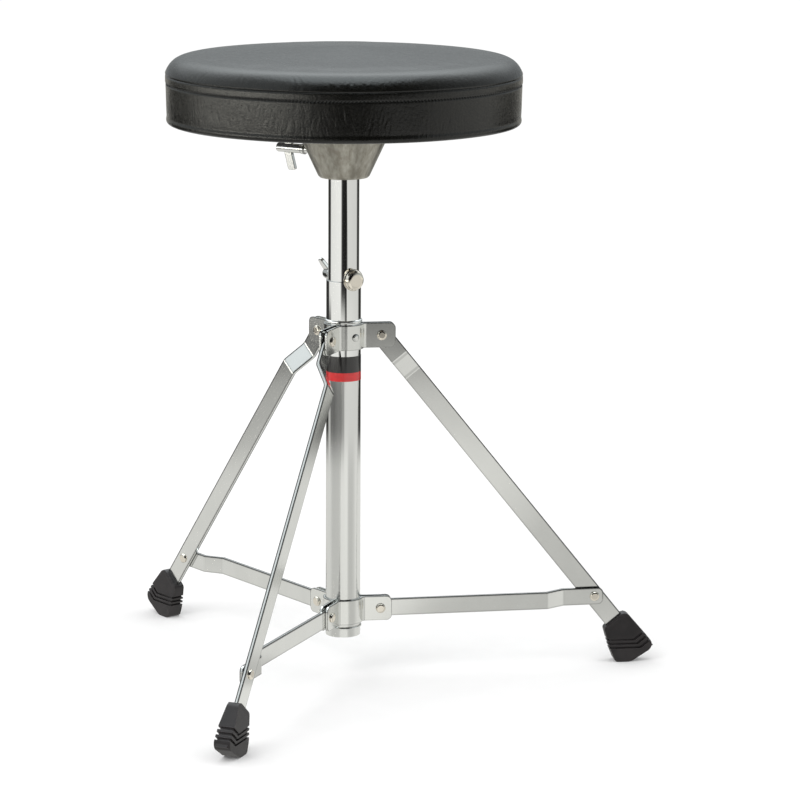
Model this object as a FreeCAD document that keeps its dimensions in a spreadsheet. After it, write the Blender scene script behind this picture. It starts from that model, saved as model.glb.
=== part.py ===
import FreeCAD, Part
import math
import os
import re

import Sketcher

# Drum throne: a round padded seat on a telescoping post, carried by a folding tripod.
# Millimetres, +Z up. The origin is on the post's axis at floor level, and leg 1 points along +X.
# Legs 1, 2 and 3 stand at 0, 120 and 240 degrees. "Lateral" means counter-clockwise about +Z,
# at right angles to a leg's own radial plane.

SIZES = {
    # base tube, with the two rolled beads that stop the brackets
    "base_tube_radius": 14.3,
    "base_tube_bore": 12.78,
    "base_tube_bottom": 34.5,
    "base_tube_top": 331.1,
    "bead_radius": 1.3,
    "bead_sink": 0.2,
    "upper_bead_z": 298.2,
    "lower_bead_z": 42.0,
    # painted stripes round the base tube
    "stripe_thickness": 0.12,
    "stripe_bottom": 249.4,
    "stripe_split": 256.5,
    "stripe_top": 269.9,
    # seat post and its height bolt
    "post_radius": 12.7,
    "post_bore": 11.2,
    "post_bottom": 150.0,
    "post_top": 452.0,
    "bolt_hole_radius": 3.2,
    "bolt_hole_pitch": 20.0,
    "bolt_hole_count": 7,
    "bolt_z": 333.1,
    "bolt_turn": 293.0,
    "bolt_radius": 3.0,
    "bolt_end_chamfer": 0.5,
    "bolt_flange_radius": 8.9,
    "bolt_flange_thickness": 1.4,
    "bolt_crown_radius": 8.3,
    "bolt_crown_height": 4.4,
    "bolt_crown_round": 3.8,
    "bolt_head_seat": 14.9,
    "bolt_end": 30.0,
    "washer_radius": 6.6,
    "washer_seat": 14.4,
    "washer_thickness": 1.2,
    "nut_bore": 3.06,
    "nut_base_radius": 6.2,
    "nut_step": 2.0,
    "nut_tip_radius": 4.6,
    "nut_hub_length": 11.0,
    "nut_wing_thickness": 2.6,
    "nut_wing_root": 1.5,
    "nut_wing_sink": 2.0,
    "nut_wing_inner": 9.2,
    "nut_wing_shoulder": 6.6,
    "nut_wing_round": 2.6,
    "nut_wing_reach": 14.8,
    "nut_wing_length": 12.0,
    "nut_wing_lean": 31.0,
    # brackets: three bent plates each, clasping the tube and the bars
    "wrap_radius": 14.35,
    "plate_thickness": 2.0,
    "ear_gap": 3.2,
    "ear_corner": 4.5,
    "ear_bend": 3.0,
    "upper_plate_height": 20.4,
    "upper_ear_reach": 42.4,
    "lower_plate_height": 20.4,
    "lower_ear_reach": 40.4,
    "pivot_offset": 31.0,
    "upper_pivot_z": 285.5,
    "lower_pivot_z": 55.75,
    "set_rivet_radius": 2.0,
    "set_rivet_head_radius": 3.2,
    "set_rivet_head_height": 0.9,
    "set_rivet_rim": 0.36,
    "set_rivet_crown": 1.6,
    # pivot rivets
    "rivet_radius": 3.0,
    "rivet_head_radius": 4.1,
    "rivet_head_height": 1.9,
    "rivet_head_round": 1.7,
    "pivot_clearance": 0.05,
    # legs
    "leg_joint_offset": 213.6,
    "leg_joint_z": 57.3,
    "leg_width": 16.0,
    "leg_thickness": 3.0,
    "leg_jog": 12.0,
    "leg_jog_start": 25.0,
    "leg_jog_end": 42.7,
    "leg_end": 344.0,
    # braces
    "brace_width": 14.2,
    "brace_thickness": 2.8,
    "brace_jog": 9.0,
    "brace_jog_start": 140.6,
    "brace_jog_end": 155.6,
    "brace_end_margin": 7.4,
    "brace_end_corner": 4.5,
    "brace_bend": 2.0,
    "leg_bend": 6.0,
    # rubber feet
    "foot_start": 319.5,
    "foot_top_inner": 10.8,
    "foot_top_outer": 12.2,
    "foot_flare": 17.8,
    "foot_flare_at": 336.5,
    "foot_pad_inner": 21.2,
    "foot_pad_outer": 11.2,
    "foot_toe_at": 359.5,
    "foot_toe": 13.6,
    "foot_thickness": 13.7,
    "foot_top_thickness": 9.0,
    "foot_taper_end": 341.0,
    "groove_depth": 1.3,
    "groove_width": 2.2,
    "groove_pitch": 4.4,
    "groove_start": 342.0,
    "groove_apex": 2.7,
    "foot_core_thickness": 10.0,
    "foot_mouth_inner_round": 3.0,
    "foot_mouth_outer_round": 5.6,
    "foot_toe_round": 6.5,
    "foot_pad_round": 12.0,
    "foot_heel_round": 3.5,
    "foot_flare_round": 9.0,
    # seat hub casting
    "hub_bore": 12.78,
    "hub_bottom": 415.2,
    "hub_bottom_radius": 20.9,
    "hub_chamfer": 1.4,
    "hub_top_radius": 39.4,
    "hub_wall": 3.2,
    "hub_floor": 14.0,
    "hub_socket_radius": 16.6,
    "hub_socket_wall": 4.0,
    "hub_socket_drop": 5.0,
    "hub_flange_radius": 54.0,
    "hub_flange_thickness": 4.0,
    "hub_screw_circle": 47.0,
    "hub_screw_hole": 3.3,
    "hub_screw_count": 4,
    # clamp bolt with its cast T handle
    "clamp_z": 435.0,
    "clamp_turn": 140.0,
    "clamp_radius": 3.0,
    "clamp_tip": 12.76,
    "clamp_tip_chamfer": 0.8,
    "clamp_handle_start": 37.5,
    "clamp_handle_end": 64.2,
    "clamp_handle_radius": 3.8,
    "clamp_handle_round": 1.4,
    "clamp_collar_rise": 0.5,
    "clamp_collar_length": 2.5,
    "clamp_wing_centre": 53.9,
    "clamp_wing_width": 6.8,
    "clamp_wing_thickness": 3.2,
    "clamp_wing_reach": 17.6,
    "clamp_wing_tilt": 14.0,
    "clamp_wing_round": 1.6,
    # seat board, its fixings and the padding
    "board_bottom": 460.2,
    "board_thickness": 12.0,
    "board_radius": 138.5,
    "board_round": 3.6,
    "screw_radius": 3.0,
    "screw_head_radius": 5.2,
    "screw_head_height": 3.0,
    "screw_length": 15.0,
    "tee_nut_bore": 3.05,
    "tee_nut_recess": 1.0,
    "tee_nut_radius": 4.0,
    "tee_nut_flange_radius": 9.0,
    "tee_nut_flange_thickness": 1.2,
    "fit_gap": 0.05,
    "cut_margin": 1.0,
    "cover_thickness": 1.2,
    "cover_base_radius": 143.6,
    "cover_base_round": 5.0,
    "seam_radius": 144.6,
    "seam_z": 497.0,
    "shoulder_radius": 139.0,
    "shoulder_z": 512.5,
    "shoulder_round": 21.0,
    "crown_z": 521.0,
    "cover_lip_radius": 105.0,
    "dust_cover_bore": 56.0,
    "dust_cover_radius": 124.0,
    "dust_cover_thickness": 0.5,
    "staple_circle": 117.0,
    "staple_count": 16,
    "staple_width": 10.0,
    "staple_wire": 0.8,
    "staple_depth": 7.0,
}

LEGS = (1, 2, 3)
LEG_SPACING = 120.0
WIDE = 400.0
NEAR = 0.01

document = FreeCAD.newDocument("drum_throne")
sheet = document.addObject("Spreadsheet::Sheet", "Sizes")
for row, (alias, number) in enumerate(SIZES.items(), start=1):
    sheet.set(f"A{row}", alias)
    sheet.set(f"B{row}", str(number))
    sheet.setAlias(f"B{row}", alias)
document.recompute()

subparts = []


# ---- reading sizes and binding them ------------------------------------------------------

def size(alias):
    """The number that the sheet holds under this alias."""
    return float(getattr(sheet, alias))


def sized(text):
    """The same expression, with every alias read from the sheet."""
    return re.sub(r"[a-z_]+", lambda word: "Sizes." + word[0] if word[0] in SIZES else word[0], text)


def bind(thing, path, text):
    thing.setExpression(path, sized(text))


def keep(thing, label):
    """Name a finished sub-part, so that it is checked and written."""
    thing.Label = label
    subparts.append(thing)
    return thing


# ---- where the legs and braces stand -----------------------------------------------------

def leg_run():
    """Length from the leg's top pivot to its brace rivet, and the leg's lean from vertical."""
    across = size("leg_joint_offset") - size("pivot_offset")
    down = size("upper_pivot_z") - size("leg_joint_z")
    return math.hypot(across, down), math.degrees(math.atan2(across, down))


def brace_run():
    """Length from the collar pivot to the brace rivet, and the brace's rise from level."""
    across = size("leg_joint_offset") - size("pivot_offset")
    up = size("leg_joint_z") - size("lower_pivot_z")
    return math.hypot(across, up), math.degrees(math.atan2(up, across))


def turned(angle):
    return FreeCAD.Placement(FreeCAD.Vector(0, 0, 0), FreeCAD.Rotation(FreeCAD.Vector(0, 0, 1), angle))


def pitched_bar(number, pivot_z, pitch):
    """A bar's own X axis runs from its pivot; pitch is how far that axis dips below level."""
    pivot = FreeCAD.Vector(size("pivot_offset"), 0, pivot_z)
    dip = FreeCAD.Rotation(FreeCAD.Vector(0, 1, 0), pitch)
    return turned(LEG_SPACING * (number - 1)).multiply(FreeCAD.Placement(pivot, dip))


def leg_placement(number):
    return pitched_bar(number, size("upper_pivot_z"), 90 - leg_run()[1])


def brace_placement(number):
    return pitched_bar(number, size("lower_pivot_z"), -brace_run()[1])


# ---- sketches and features ---------------------------------------------------------------

def new_body(name):
    return document.addObject("PartDesign::Body", name)


def origin_feature(body, role):
    for feature in body.Origin.OriginFeatures:
        if feature.Role == role:
            return feature
    raise ValueError(role)


def new_sketch(body, role, turn=0.0, shift=None):
    """A sketch on one of the body's origin planes, turned about Z, then shifted (three expressions)."""
    sketch = body.newObject("Sketcher::SketchObject", body.Name + "_sketch")
    sketch.AttachmentSupport = (origin_feature(body, role), [""])
    sketch.MapMode = "FlatFace"
    upright = FreeCAD.Vector(0, 0, 1) if role == "XY_Plane" else FreeCAD.Vector(0, 1, 0)
    sketch.AttachmentOffset = FreeCAD.Placement(
        FreeCAD.Vector(0, 0, 0), FreeCAD.Rotation(upright, turn)
    )
    for axis, text in (shift or {}).items():
        bind(sketch, "AttachmentOffset.Base." + axis, text)
    return sketch


def add_dimension(sketch, kind, geometry, point, start, text):
    if kind == "Radius":
        constraint = Sketcher.Constraint("Radius", geometry, start)
    else:
        constraint = Sketcher.Constraint(kind, -1, 1, geometry, point, start)
    index = sketch.addConstraint(constraint)
    bind(sketch, f"Constraints[{index}]", text)


def draw_outline(sketch, corners):
    """A closed outline of straight sides through corners given as pairs of expressions."""
    count = len(corners)
    first = sketch.GeometryCount
    start = []
    for index in range(count):
        angle = 2 * math.pi * index / count
        start.append(FreeCAD.Vector(30 * math.cos(angle), 30 * math.sin(angle), 0))
    for index in range(count):
        sketch.addGeometry(Part.LineSegment(start[index], start[(index + 1) % count]), False)
    for index in range(count):
        following = first + (index + 1) % count
        sketch.addConstraint(Sketcher.Constraint("Coincident", first + index, 2, following, 1))
    for index, (across, up) in enumerate(corners):
        add_dimension(sketch, "DistanceX", first + index, 1, start[index].x, across)
        add_dimension(sketch, "DistanceY", first + index, 1, start[index].y, up)
    return sketch


def draw_circle(sketch, radius, across="0", up="0"):
    centre = FreeCAD.Vector(1, 1, 0)
    index = sketch.addGeometry(Part.Circle(centre, FreeCAD.Vector(0, 0, 1), 5), False)
    add_dimension(sketch, "Radius", index, None, 5, radius)
    add_dimension(sketch, "DistanceX", index, 3, centre.x, across)
    add_dimension(sketch, "DistanceY", index, 3, centre.y, up)
    return sketch


def rectangle(low_x, high_x, low_y, high_y):
    return [(low_x, low_y), (high_x, low_y), (high_x, high_y), (low_x, high_y)]


def extrude(body, kind, sketch, length, both_ways=False, backward=False):
    feature = body.newObject("PartDesign::" + kind, sketch.Name + "_" + kind.lower())
    feature.Profile = sketch
    feature.SideType = "Symmetric" if both_ways else "One side"
    feature.Reversed = backward
    bind(feature, "Length", length)
    sketch.Visibility = False
    return feature


def pad(body, sketch, length, **how):
    return extrude(body, "Pad", sketch, length, **how)


def pocket(body, sketch, length, **how):
    """Cut, and make sure that something was really cut."""
    document.recompute()
    before = body.Shape.Volume
    feature = extrude(body, "Pocket", sketch, length, **how)
    document.recompute()
    if body.Shape.Volume > before - NEAR:
        raise RuntimeError("nothing was cut by " + feature.Name)
    return feature


def revolve(body, sketch, axis="V_Axis", angle=360.0, both_ways=False):
    feature = body.newObject("PartDesign::Revolution", sketch.Name + "_revolution")
    feature.Profile = sketch
    feature.ReferenceAxis = (sketch, [axis])
    feature.Angle = angle
    feature.Midplane = both_ways
    return feature


def repeat_round(body, features, count):
    pattern = body.newObject("PartDesign::PolarPattern", body.Name + "_pattern")
    pattern.Originals = features
    pattern.Axis = (origin_feature(body, "Z_Axis"), [""])
    pattern.Angle = 360
    bind(pattern, "Occurrences", count)
    body.Tip = pattern
    return pattern


def mirror(body, features, role):
    mirrored = body.newObject("PartDesign::Mirrored", body.Name + "_mirrored")
    mirrored.Originals = features
    mirrored.MirrorPlane = (origin_feature(body, role), [""])
    body.Tip = mirrored
    return mirrored


def soften(body, kind, amount, wanted):
    """Fillet or chamfer every edge of the body's tip for which wanted(edge) is true."""
    document.recompute()
    base = body.Tip
    names = [f"Edge{n}" for n, edge in enumerate(base.Shape.Edges, start=1) if wanted(edge)]
    if not names:
        raise RuntimeError("no edge to soften on " + body.Name)
    feature = body.newObject("PartDesign::" + kind, body.Name + "_" + kind.lower())
    feature.Base = (base, names)
    bind(feature, "Radius" if kind == "Fillet" else "Size", amount)
    document.recompute()
    if "Invalid" in feature.State or not feature.Shape.isValid():
        raise RuntimeError(kind + " failed on " + body.Name)
    return feature


# ---- picking edges -----------------------------------------------------------------------

def ends_at(edge, axis, place):
    """True when both ends of the edge lie at this place along an axis (x, y or z)."""
    return all(abs(getattr(vertex.Point, axis) - place) < NEAR for vertex in edge.Vertexes)


def is_circle(edge, radius):
    curve = edge.Curve
    return isinstance(curve, Part.Circle) and abs(curve.Radius - radius) < NEAR


def runs_along(edge, direction):
    if not isinstance(edge.Curve, Part.Line):
        return False
    return abs(abs(edge.Curve.Direction.dot(direction)) - 1) < 1e-6


# ---- base tube ---------------------------------------------------------------------------

def set_rivet_turn():
    """The first plate's middle, seen from the tube's own frame, which is turned with the bolt."""
    return LEG_SPACING / 2 - size("bolt_turn")


def make_base_tube():
    body = new_body("base_tube")
    wall = new_sketch(body, "XZ_Plane")
    draw_outline(wall, rectangle("base_tube_bore", "base_tube_radius", "base_tube_bottom", "base_tube_top"))
    revolve(body, wall)
    for bead_z in ("upper_bead_z", "lower_bead_z"):
        bead = new_sketch(body, "XZ_Plane")
        draw_circle(bead, "bead_radius", "base_tube_radius - bead_sink", bead_z)
        revolve(body, bead)
    # the height bolt rests in two shallow notches in the rim
    notch = draw_circle(new_sketch(body, "YZ_Plane"), "bolt_radius + fit_gap", "0", "bolt_z")
    pocket(body, notch, "4 * base_tube_radius", both_ways=True)
    hole = new_sketch(body, "YZ_Plane", turn=set_rivet_turn())
    draw_circle(hole, "set_rivet_radius", "0", "upper_pivot_z")
    drilled = pocket(body, hole, "2 * base_tube_radius", backward=True)
    repeat_round(body, [drilled], str(len(LEGS)))
    body.Placement = turned(size("bolt_turn"))
    return keep(body, "base_tube")


def make_stripe(label, bottom, top):
    outside = document.addObject("Part::Cylinder", label + "_outside")
    inside = document.addObject("Part::Cylinder", label + "_inside")
    bind(outside, "Radius", "base_tube_radius + stripe_thickness")
    bind(inside, "Radius", "base_tube_radius")
    stripe = document.addObject("Part::Cut", label)
    stripe.Base = outside
    stripe.Tool = inside
    for cylinder in (outside, inside):
        bind(cylinder, "Height", f"{top} - {bottom}")
        bind(cylinder, "Placement.Base.z", bottom)
    return keep(stripe, label)


# ---- brackets ----------------------------------------------------------------------------

def make_bracket_plate(label, number, pivot_z, height, reach, set_riveted):
    """One of three bent plates. Its own X axis is halfway between two legs' planes."""
    body = new_body(label)
    low = f"{pivot_z} - {height} / 2"
    high = f"{pivot_z} + {height} / 2"
    half_span = LEG_SPACING / 2
    wrap = new_sketch(body, "XZ_Plane")
    draw_outline(wrap, rectangle("wrap_radius", "wrap_radius + plate_thickness", low, high))
    gap_angle = math.degrees(math.asin(size("ear_gap") / 2 / size("wrap_radius")))
    revolve(body, wrap, angle=2 * (half_span - gap_angle), both_ways=True)
    # an ear lies beside the plane of its leg, half the gap away from it
    beside = {
        "x": f"0.5 * ear_gap * sin({half_span})",
        "z": f"-0.5 * ear_gap * cos({half_span})",
    }
    ear = new_sketch(body, "XZ_Plane", turn=-half_span, shift=beside)
    draw_outline(ear, rectangle("wrap_radius + fit_gap", reach, low, high))
    ear_pad = pad(body, ear, "plate_thickness", backward=True)
    hole = new_sketch(body, "XZ_Plane", turn=-half_span, shift=beside)
    draw_circle(hole, "rivet_radius", "pivot_offset", pivot_z)
    drilled = pocket(body, hole, "plate_thickness")
    mirror(body, [ear_pad, drilled], "XZ_Plane")
    if set_riveted:
        middle = new_sketch(body, "YZ_Plane")
        draw_circle(middle, "set_rivet_radius", "0", pivot_z)
        pocket(body, middle, "2 * base_tube_radius", backward=True)
    outer_wrap = size("wrap_radius") + size("plate_thickness")
    tip = size(reach)
    leg_directions = [
        FreeCAD.Vector(math.cos(math.radians(side)), math.sin(math.radians(side)), 0)
        for side in (half_span, -half_span)
    ]

    def in_bend(edge):
        if not runs_along(edge, FreeCAD.Vector(0, 0, 1)):
            return False
        point = edge.Vertexes[0].Point
        return abs(math.hypot(point.x, point.y) - outer_wrap) < NEAR and edge.Length > size(height) - NEAR

    def at_ear_corner(edge):
        if abs(edge.Length - size("plate_thickness")) > NEAR:
            return False
        points = [vertex.Point for vertex in edge.Vertexes]
        reached = max(points[0].dot(direction) for direction in leg_directions)
        return abs(reached - tip) < NEAR and abs(points[0].z - points[1].z) < NEAR

    soften(body, "Fillet", "ear_bend", in_bend)
    soften(body, "Fillet", "ear_corner", at_ear_corner)
    body.Placement = turned(LEG_SPACING * (number - 0.5))
    return keep(body, label)


# ---- rivets ------------------------------------------------------------------------------

def rivet_pads(body, across, up, near_side, far_side, near_head, far_head):
    """A shank and its heads along the body's Y axis; the sides are lateral expressions."""
    features = []

    def disc(radius, low, high):
        sketch = new_sketch(body, "XZ_Plane", shift={"z": f"-({low})"})
        draw_circle(sketch, radius, across, up)
        features.append(pad(body, sketch, f"{high} - ({low})", backward=True))

    disc("rivet_radius", near_side, far_side)
    if near_head:
        disc("rivet_head_radius", f"{near_side} - rivet_head_height", near_side)
    if far_head:
        disc("rivet_head_radius", far_side, f"{far_side} + rivet_head_height")
    return features


def dome_heads(body, side_places):
    """Round the outer rim of every head; side_places are the heads' outermost lateral places."""

    def outer_rim(edge):
        if not is_circle(edge, size("rivet_head_radius")):
            return False
        axis = edge.Curve.Axis
        place = abs(edge.Curve.Center.dot(axis))
        return any(abs(place - abs(side)) < NEAR for side in side_places)

    soften(body, "Fillet", "rivet_head_round", outer_rim)


def make_pivot_rivets(label, pivot_z):
    """Three identical rivets, one through each pair of bracket ears."""
    body = new_body(label)
    outer = "(0.5 * ear_gap + plate_thickness)"
    features = rivet_pads(body, "pivot_offset", pivot_z, "-" + outer, outer, True, True)
    repeat_round(body, features, str(len(LEGS)))
    reach = size("ear_gap") / 2 + size("plate_thickness") + size("rivet_head_height")
    dome_heads(body, [reach])
    return keep(body, label)


def make_set_rivets():
    """Three short rivets that fix the upper bracket's plates to the tube."""
    body = new_body("bracket_set_rivets")
    profile = new_sketch(body, "XY_Plane", turn=LEG_SPACING / 2, shift={"z": "upper_pivot_z"})
    inner = "base_tube_bore + 2 * fit_gap"
    seat = "wrap_radius + plate_thickness"
    draw_outline(profile, [
        (inner, "0"),
        (inner, "set_rivet_radius"),
        (seat, "set_rivet_radius"),
        (seat, "set_rivet_head_radius"),
        (f"{seat} + set_rivet_rim", "set_rivet_head_radius"),
        (f"{seat} + set_rivet_head_height", "set_rivet_crown"),
        (f"{seat} + set_rivet_head_height", "0"),
    ])
    turned_rivet = revolve(body, profile, axis="H_Axis")
    repeat_round(body, [turned_rivet], str(len(LEGS)))
    return keep(body, "bracket_set_rivets")


def make_leg_rivet(number):
    """The far half of the brace pivot: head and shank held by the leg."""
    body = new_body(f"leg_{number}_rivet")
    near = "leg_jog - 0.5 * leg_thickness"
    far = "leg_jog + 0.5 * leg_thickness"
    rivet_pads(body, str(leg_run()[0]), "0", near, far, False, True)
    dome_heads(body, [size("leg_jog") + size("leg_thickness") / 2 + size("rivet_head_height")])
    body.Placement = leg_placement(number)
    return keep(body, f"leg_{number}_rivet")


def make_brace_rivet(number):
    """The near half of the brace pivot: clinched head and collar held by the brace."""
    body = new_body(f"brace_{number}_rivet")
    near = "brace_jog - 0.5 * brace_thickness"
    far = "brace_jog + 0.5 * brace_thickness"
    rivet_pads(body, str(brace_run()[0]), "0", near, far, True, False)
    dome_heads(body, [size("brace_jog") - size("brace_thickness") / 2 - size("rivet_head_height")])
    body.Placement = brace_placement(number)
    return keep(body, f"brace_{number}_rivet")


# ---- legs and braces ---------------------------------------------------------------------

def draw_jogged_bar(sketch, thickness, jog, jog_start, jog_end, near_end, far_end):
    """Side outline of a flat bar that steps sideways by jog between two places along it."""
    half = f"0.5 * {thickness}"
    lean = f"{half} * tan(0.5 * atan({jog} / ({jog_end} - {jog_start})))"
    return draw_outline(sketch, [
        (near_end, f"-{half}"),
        (f"{jog_start} + {lean}", f"-{half}"),
        (f"{jog_end} + {lean}", f"{jog} - {half}"),
        (far_end, f"{jog} - {half}"),
        (far_end, f"{jog} + {half}"),
        (f"{jog_end} - {lean}", f"{jog} + {half}"),
        (f"{jog_start} - {lean}", half),
        (near_end, half),
    ])


def round_bends(body, near_end, far_end, radius):
    """Round the four bends of a jogged bar."""

    def in_bend(edge):
        if not runs_along(edge, FreeCAD.Vector(0, 0, 1)):
            return False
        place = edge.Vertexes[0].Point.x
        return near_end + NEAR < place < far_end - NEAR

    soften(body, "Fillet", radius, in_bend)


def round_end(body, place, radius):
    """Round the two corners of a bar's end, seen from its flat side."""

    def at_corner(edge):
        return runs_along(edge, FreeCAD.Vector(0, 1, 0)) and ends_at(edge, "x", place)

    soften(body, "Fillet", radius, at_corner)


def drill_flat(body, radius, along):
    hole = draw_circle(new_sketch(body, "XZ_Plane"), radius, along, "0")
    return pocket(body, hole, str(WIDE), both_ways=True)


def make_leg(number):
    body = new_body(f"leg_{number}")
    side = new_sketch(body, "XY_Plane")
    draw_jogged_bar(
        side, "leg_thickness", "leg_jog", "leg_jog_start", "leg_jog_end", "-0.5 * leg_width", "leg_end"
    )
    pad(body, side, "leg_width", both_ways=True)
    top = -size("leg_width") / 2
    round_bends(body, top, size("leg_end"), "leg_bend")
    round_end(body, top, "0.5 * leg_width - fit_gap")
    drill_flat(body, "rivet_radius + pivot_clearance", "0")
    drill_flat(body, "rivet_radius", str(leg_run()[0]))
    body.Placement = leg_placement(number)
    return keep(body, f"leg_{number}")


def make_brace(number):
    body = new_body(f"brace_{number}")
    side = new_sketch(body, "XY_Plane")
    length = brace_run()[0]
    draw_jogged_bar(
        side, "brace_thickness", "brace_jog", "brace_jog_start", "brace_jog_end",
        "-0.5 * brace_width", f"{length} + brace_end_margin",
    )
    pad(body, side, "brace_width", both_ways=True)
    near_end = -size("brace_width") / 2
    far_end = length + size("brace_end_margin")
    round_bends(body, near_end, far_end, "brace_bend")
    round_end(body, near_end, "0.5 * brace_width - fit_gap")
    round_end(body, far_end, "brace_end_corner")
    drill_flat(body, "rivet_radius + pivot_clearance", "0")
    drill_flat(body, "rivet_radius", str(length))
    body.Placement = brace_placement(number)
    return keep(body, f"brace_{number}")


# ---- rubber feet -------------------------------------------------------------------------

def floor_line(out):
    """Distance along the leg at which the floor is met, at this height across the leg."""
    lean = leg_run()[1]
    return f"(upper_pivot_z + ({out}) * sin({lean})) / cos({lean})"


def foot_outline(inset):
    """Corners along and across the leg, all drawn in by inset."""
    return [
        (f"foot_start + {inset}", f"-foot_top_inner + {inset}"),
        (f"foot_start + {inset}", f"foot_top_outer - {inset}"),
        (f"foot_toe_at - {inset}", f"foot_toe - {inset}"),
        (floor_line("-foot_pad_outer") + f" - {inset}", "-foot_pad_outer"),
        (floor_line("-foot_pad_inner") + f" - {inset}", f"-foot_pad_inner + {inset}"),
        (f"foot_flare_at + {inset}", f"-foot_flare + {inset}"),
    ]


def foot_slab(body, inset, thickness):
    slab = new_sketch(body, "XZ_Plane", shift={"z": "-leg_jog"})
    draw_outline(slab, foot_outline(inset))
    return pad(body, slab, thickness, both_ways=True)


def draw_chevron(sketch, step):
    """A groove that runs level on the inner side and square to the leg on the outer side."""
    lean = leg_run()[1]
    start = f"groove_start + {step} * groove_pitch"
    slope = f"tan({lean})"
    inner = "(foot_pad_inner + foot_toe)"
    return draw_outline(sketch, [
        (start, "groove_apex"),
        (start, "2 * foot_toe"),
        (f"{start} + groove_width", "2 * foot_toe"),
        (f"{start} + groove_width", "groove_apex"),
        (f"{start} + groove_width - {inner} * {slope}", f"groove_apex - {inner}"),
        (f"{start} - {inner} * {slope}", f"groove_apex - {inner}"),
    ])


def round_foot(body):
    """Round the corners of the slab, seen from its flat side."""

    def corner(place, across):
        def wanted(edge):
            if not runs_along(edge, FreeCAD.Vector(0, 1, 0)):
                return False
            point = edge.Vertexes[0].Point
            return math.hypot(point.x - place, point.z - across) < NEAR
        return wanted

    lean = math.radians(leg_run()[1])

    def floor_place(out):
        return (size("upper_pivot_z") + out * math.sin(lean)) / math.cos(lean)

    corners = [
        (size("foot_start"), -size("foot_top_inner"), "foot_mouth_inner_round"),
        (size("foot_start"), size("foot_top_outer"), "foot_mouth_outer_round"),
        (size("foot_toe_at"), size("foot_toe"), "foot_toe_round"),
        (floor_place(-size("foot_pad_outer")), -size("foot_pad_outer"), "foot_pad_round"),
        (floor_place(-size("foot_pad_inner")), -size("foot_pad_inner"), "foot_heel_round"),
        (size("foot_flare_at"), -size("foot_flare"), "foot_flare_round"),
    ]
    for place, across, radius in corners:
        soften(body, "Fillet", radius, corner(place, across))


def make_foot(number):
    body = new_body(f"foot_{number}")
    foot_slab(body, "0", "foot_thickness")
    round_foot(body)
    for side in ("", "-"):
        # thin the two flat sides towards the foot's mouth
        wedge = new_sketch(body, "XY_Plane")
        draw_outline(wedge, [
            ("foot_start - cut_margin", f"leg_jog + {side}0.5 * foot_top_thickness"),
            ("foot_taper_end", f"leg_jog + {side}0.5 * foot_thickness"),
            ("foot_taper_end", f"leg_jog + {side}foot_thickness"),
            ("foot_start - cut_margin", f"leg_jog + {side}foot_thickness"),
        ])
        pocket(body, wedge, str(WIDE), both_ways=True)
    for step in (0, 1, 2):
        groove = draw_chevron(new_sketch(body, "XZ_Plane", shift={"z": "-leg_jog"}), step)
        pocket(body, groove, "2 * foot_thickness", both_ways=True)
    foot_slab(body, "groove_depth", "foot_core_thickness")
    mouth = new_sketch(body, "YZ_Plane", shift={"z": "foot_start - cut_margin"})
    draw_outline(mouth, rectangle(
        "leg_jog - 0.5 * leg_thickness", "leg_jog + 0.5 * leg_thickness",
        "-0.5 * leg_width", "0.5 * leg_width",
    ))
    pocket(body, mouth, "leg_end - foot_start + cut_margin", backward=True)
    body.Placement = leg_placement(number)
    return keep(body, f"foot_{number}")


# ---- seat post, height bolt, washer and wing nut -----------------------------------------

def make_seat_post():
    body = new_body("seat_post")
    wall = new_sketch(body, "XZ_Plane")
    draw_outline(wall, rectangle("post_bore", "post_radius", "post_bottom", "post_top"))
    revolve(body, wall)
    hole = draw_circle(new_sketch(body, "YZ_Plane"), "bolt_hole_radius", "0", "bolt_z")
    drilled = pocket(body, hole, "4 * post_radius", both_ways=True)
    row = body.newObject("PartDesign::LinearPattern", "seat_post_holes")
    row.Originals = [drilled]
    row.Direction = (origin_feature(body, "Z_Axis"), [""])
    row.Reversed = True
    bind(row, "Length", "bolt_hole_pitch * (bolt_hole_count - 1)")
    bind(row, "Occurrences", "bolt_hole_count")
    body.Tip = row
    body.Placement = turned(size("bolt_turn"))
    return keep(body, "seat_post")


def bolt_placement(lean=0.0):
    """Along the height bolt: its head looks out along +X, then everything turns with it."""
    leaned = FreeCAD.Placement(
        FreeCAD.Vector(0, 0, size("bolt_z")), FreeCAD.Rotation(FreeCAD.Vector(1, 0, 0), lean)
    )
    return turned(size("bolt_turn")).multiply(leaned)


def make_height_bolt():
    body = new_body("height_bolt")
    profile = new_sketch(body, "XZ_Plane")
    flange_face = "bolt_head_seat + bolt_flange_thickness"
    draw_outline(profile, [
        ("-bolt_end", "0"),
        ("-bolt_end", "bolt_radius - bolt_end_chamfer"),
        ("-bolt_end + bolt_end_chamfer", "bolt_radius"),
        ("bolt_head_seat", "bolt_radius"),
        ("bolt_head_seat", "bolt_flange_radius"),
        (flange_face, "bolt_flange_radius"),
        (flange_face, "bolt_crown_radius"),
        (f"{flange_face} + bolt_crown_height", "bolt_crown_radius"),
        (f"{flange_face} + bolt_crown_height", "0"),
    ])
    revolve(body, profile, axis="H_Axis")
    crown = size("bolt_head_seat") + size("bolt_flange_thickness") + size("bolt_crown_height")

    def crown_rim(edge):
        return is_circle(edge, size("bolt_crown_radius")) and ends_at(edge, "x", crown)

    soften(body, "Fillet", "bolt_crown_round", crown_rim)
    body.Placement = bolt_placement()
    return keep(body, "height_bolt")


def make_bolt_washer():
    body = new_body("bolt_washer")
    disc = draw_circle(new_sketch(body, "YZ_Plane", shift={"z": "-washer_seat"}), "washer_radius")
    draw_circle(disc, "bolt_radius + fit_gap")
    pad(body, disc, "washer_thickness", backward=True)
    body.Placement = bolt_placement()
    return keep(body, "bolt_washer")


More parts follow.
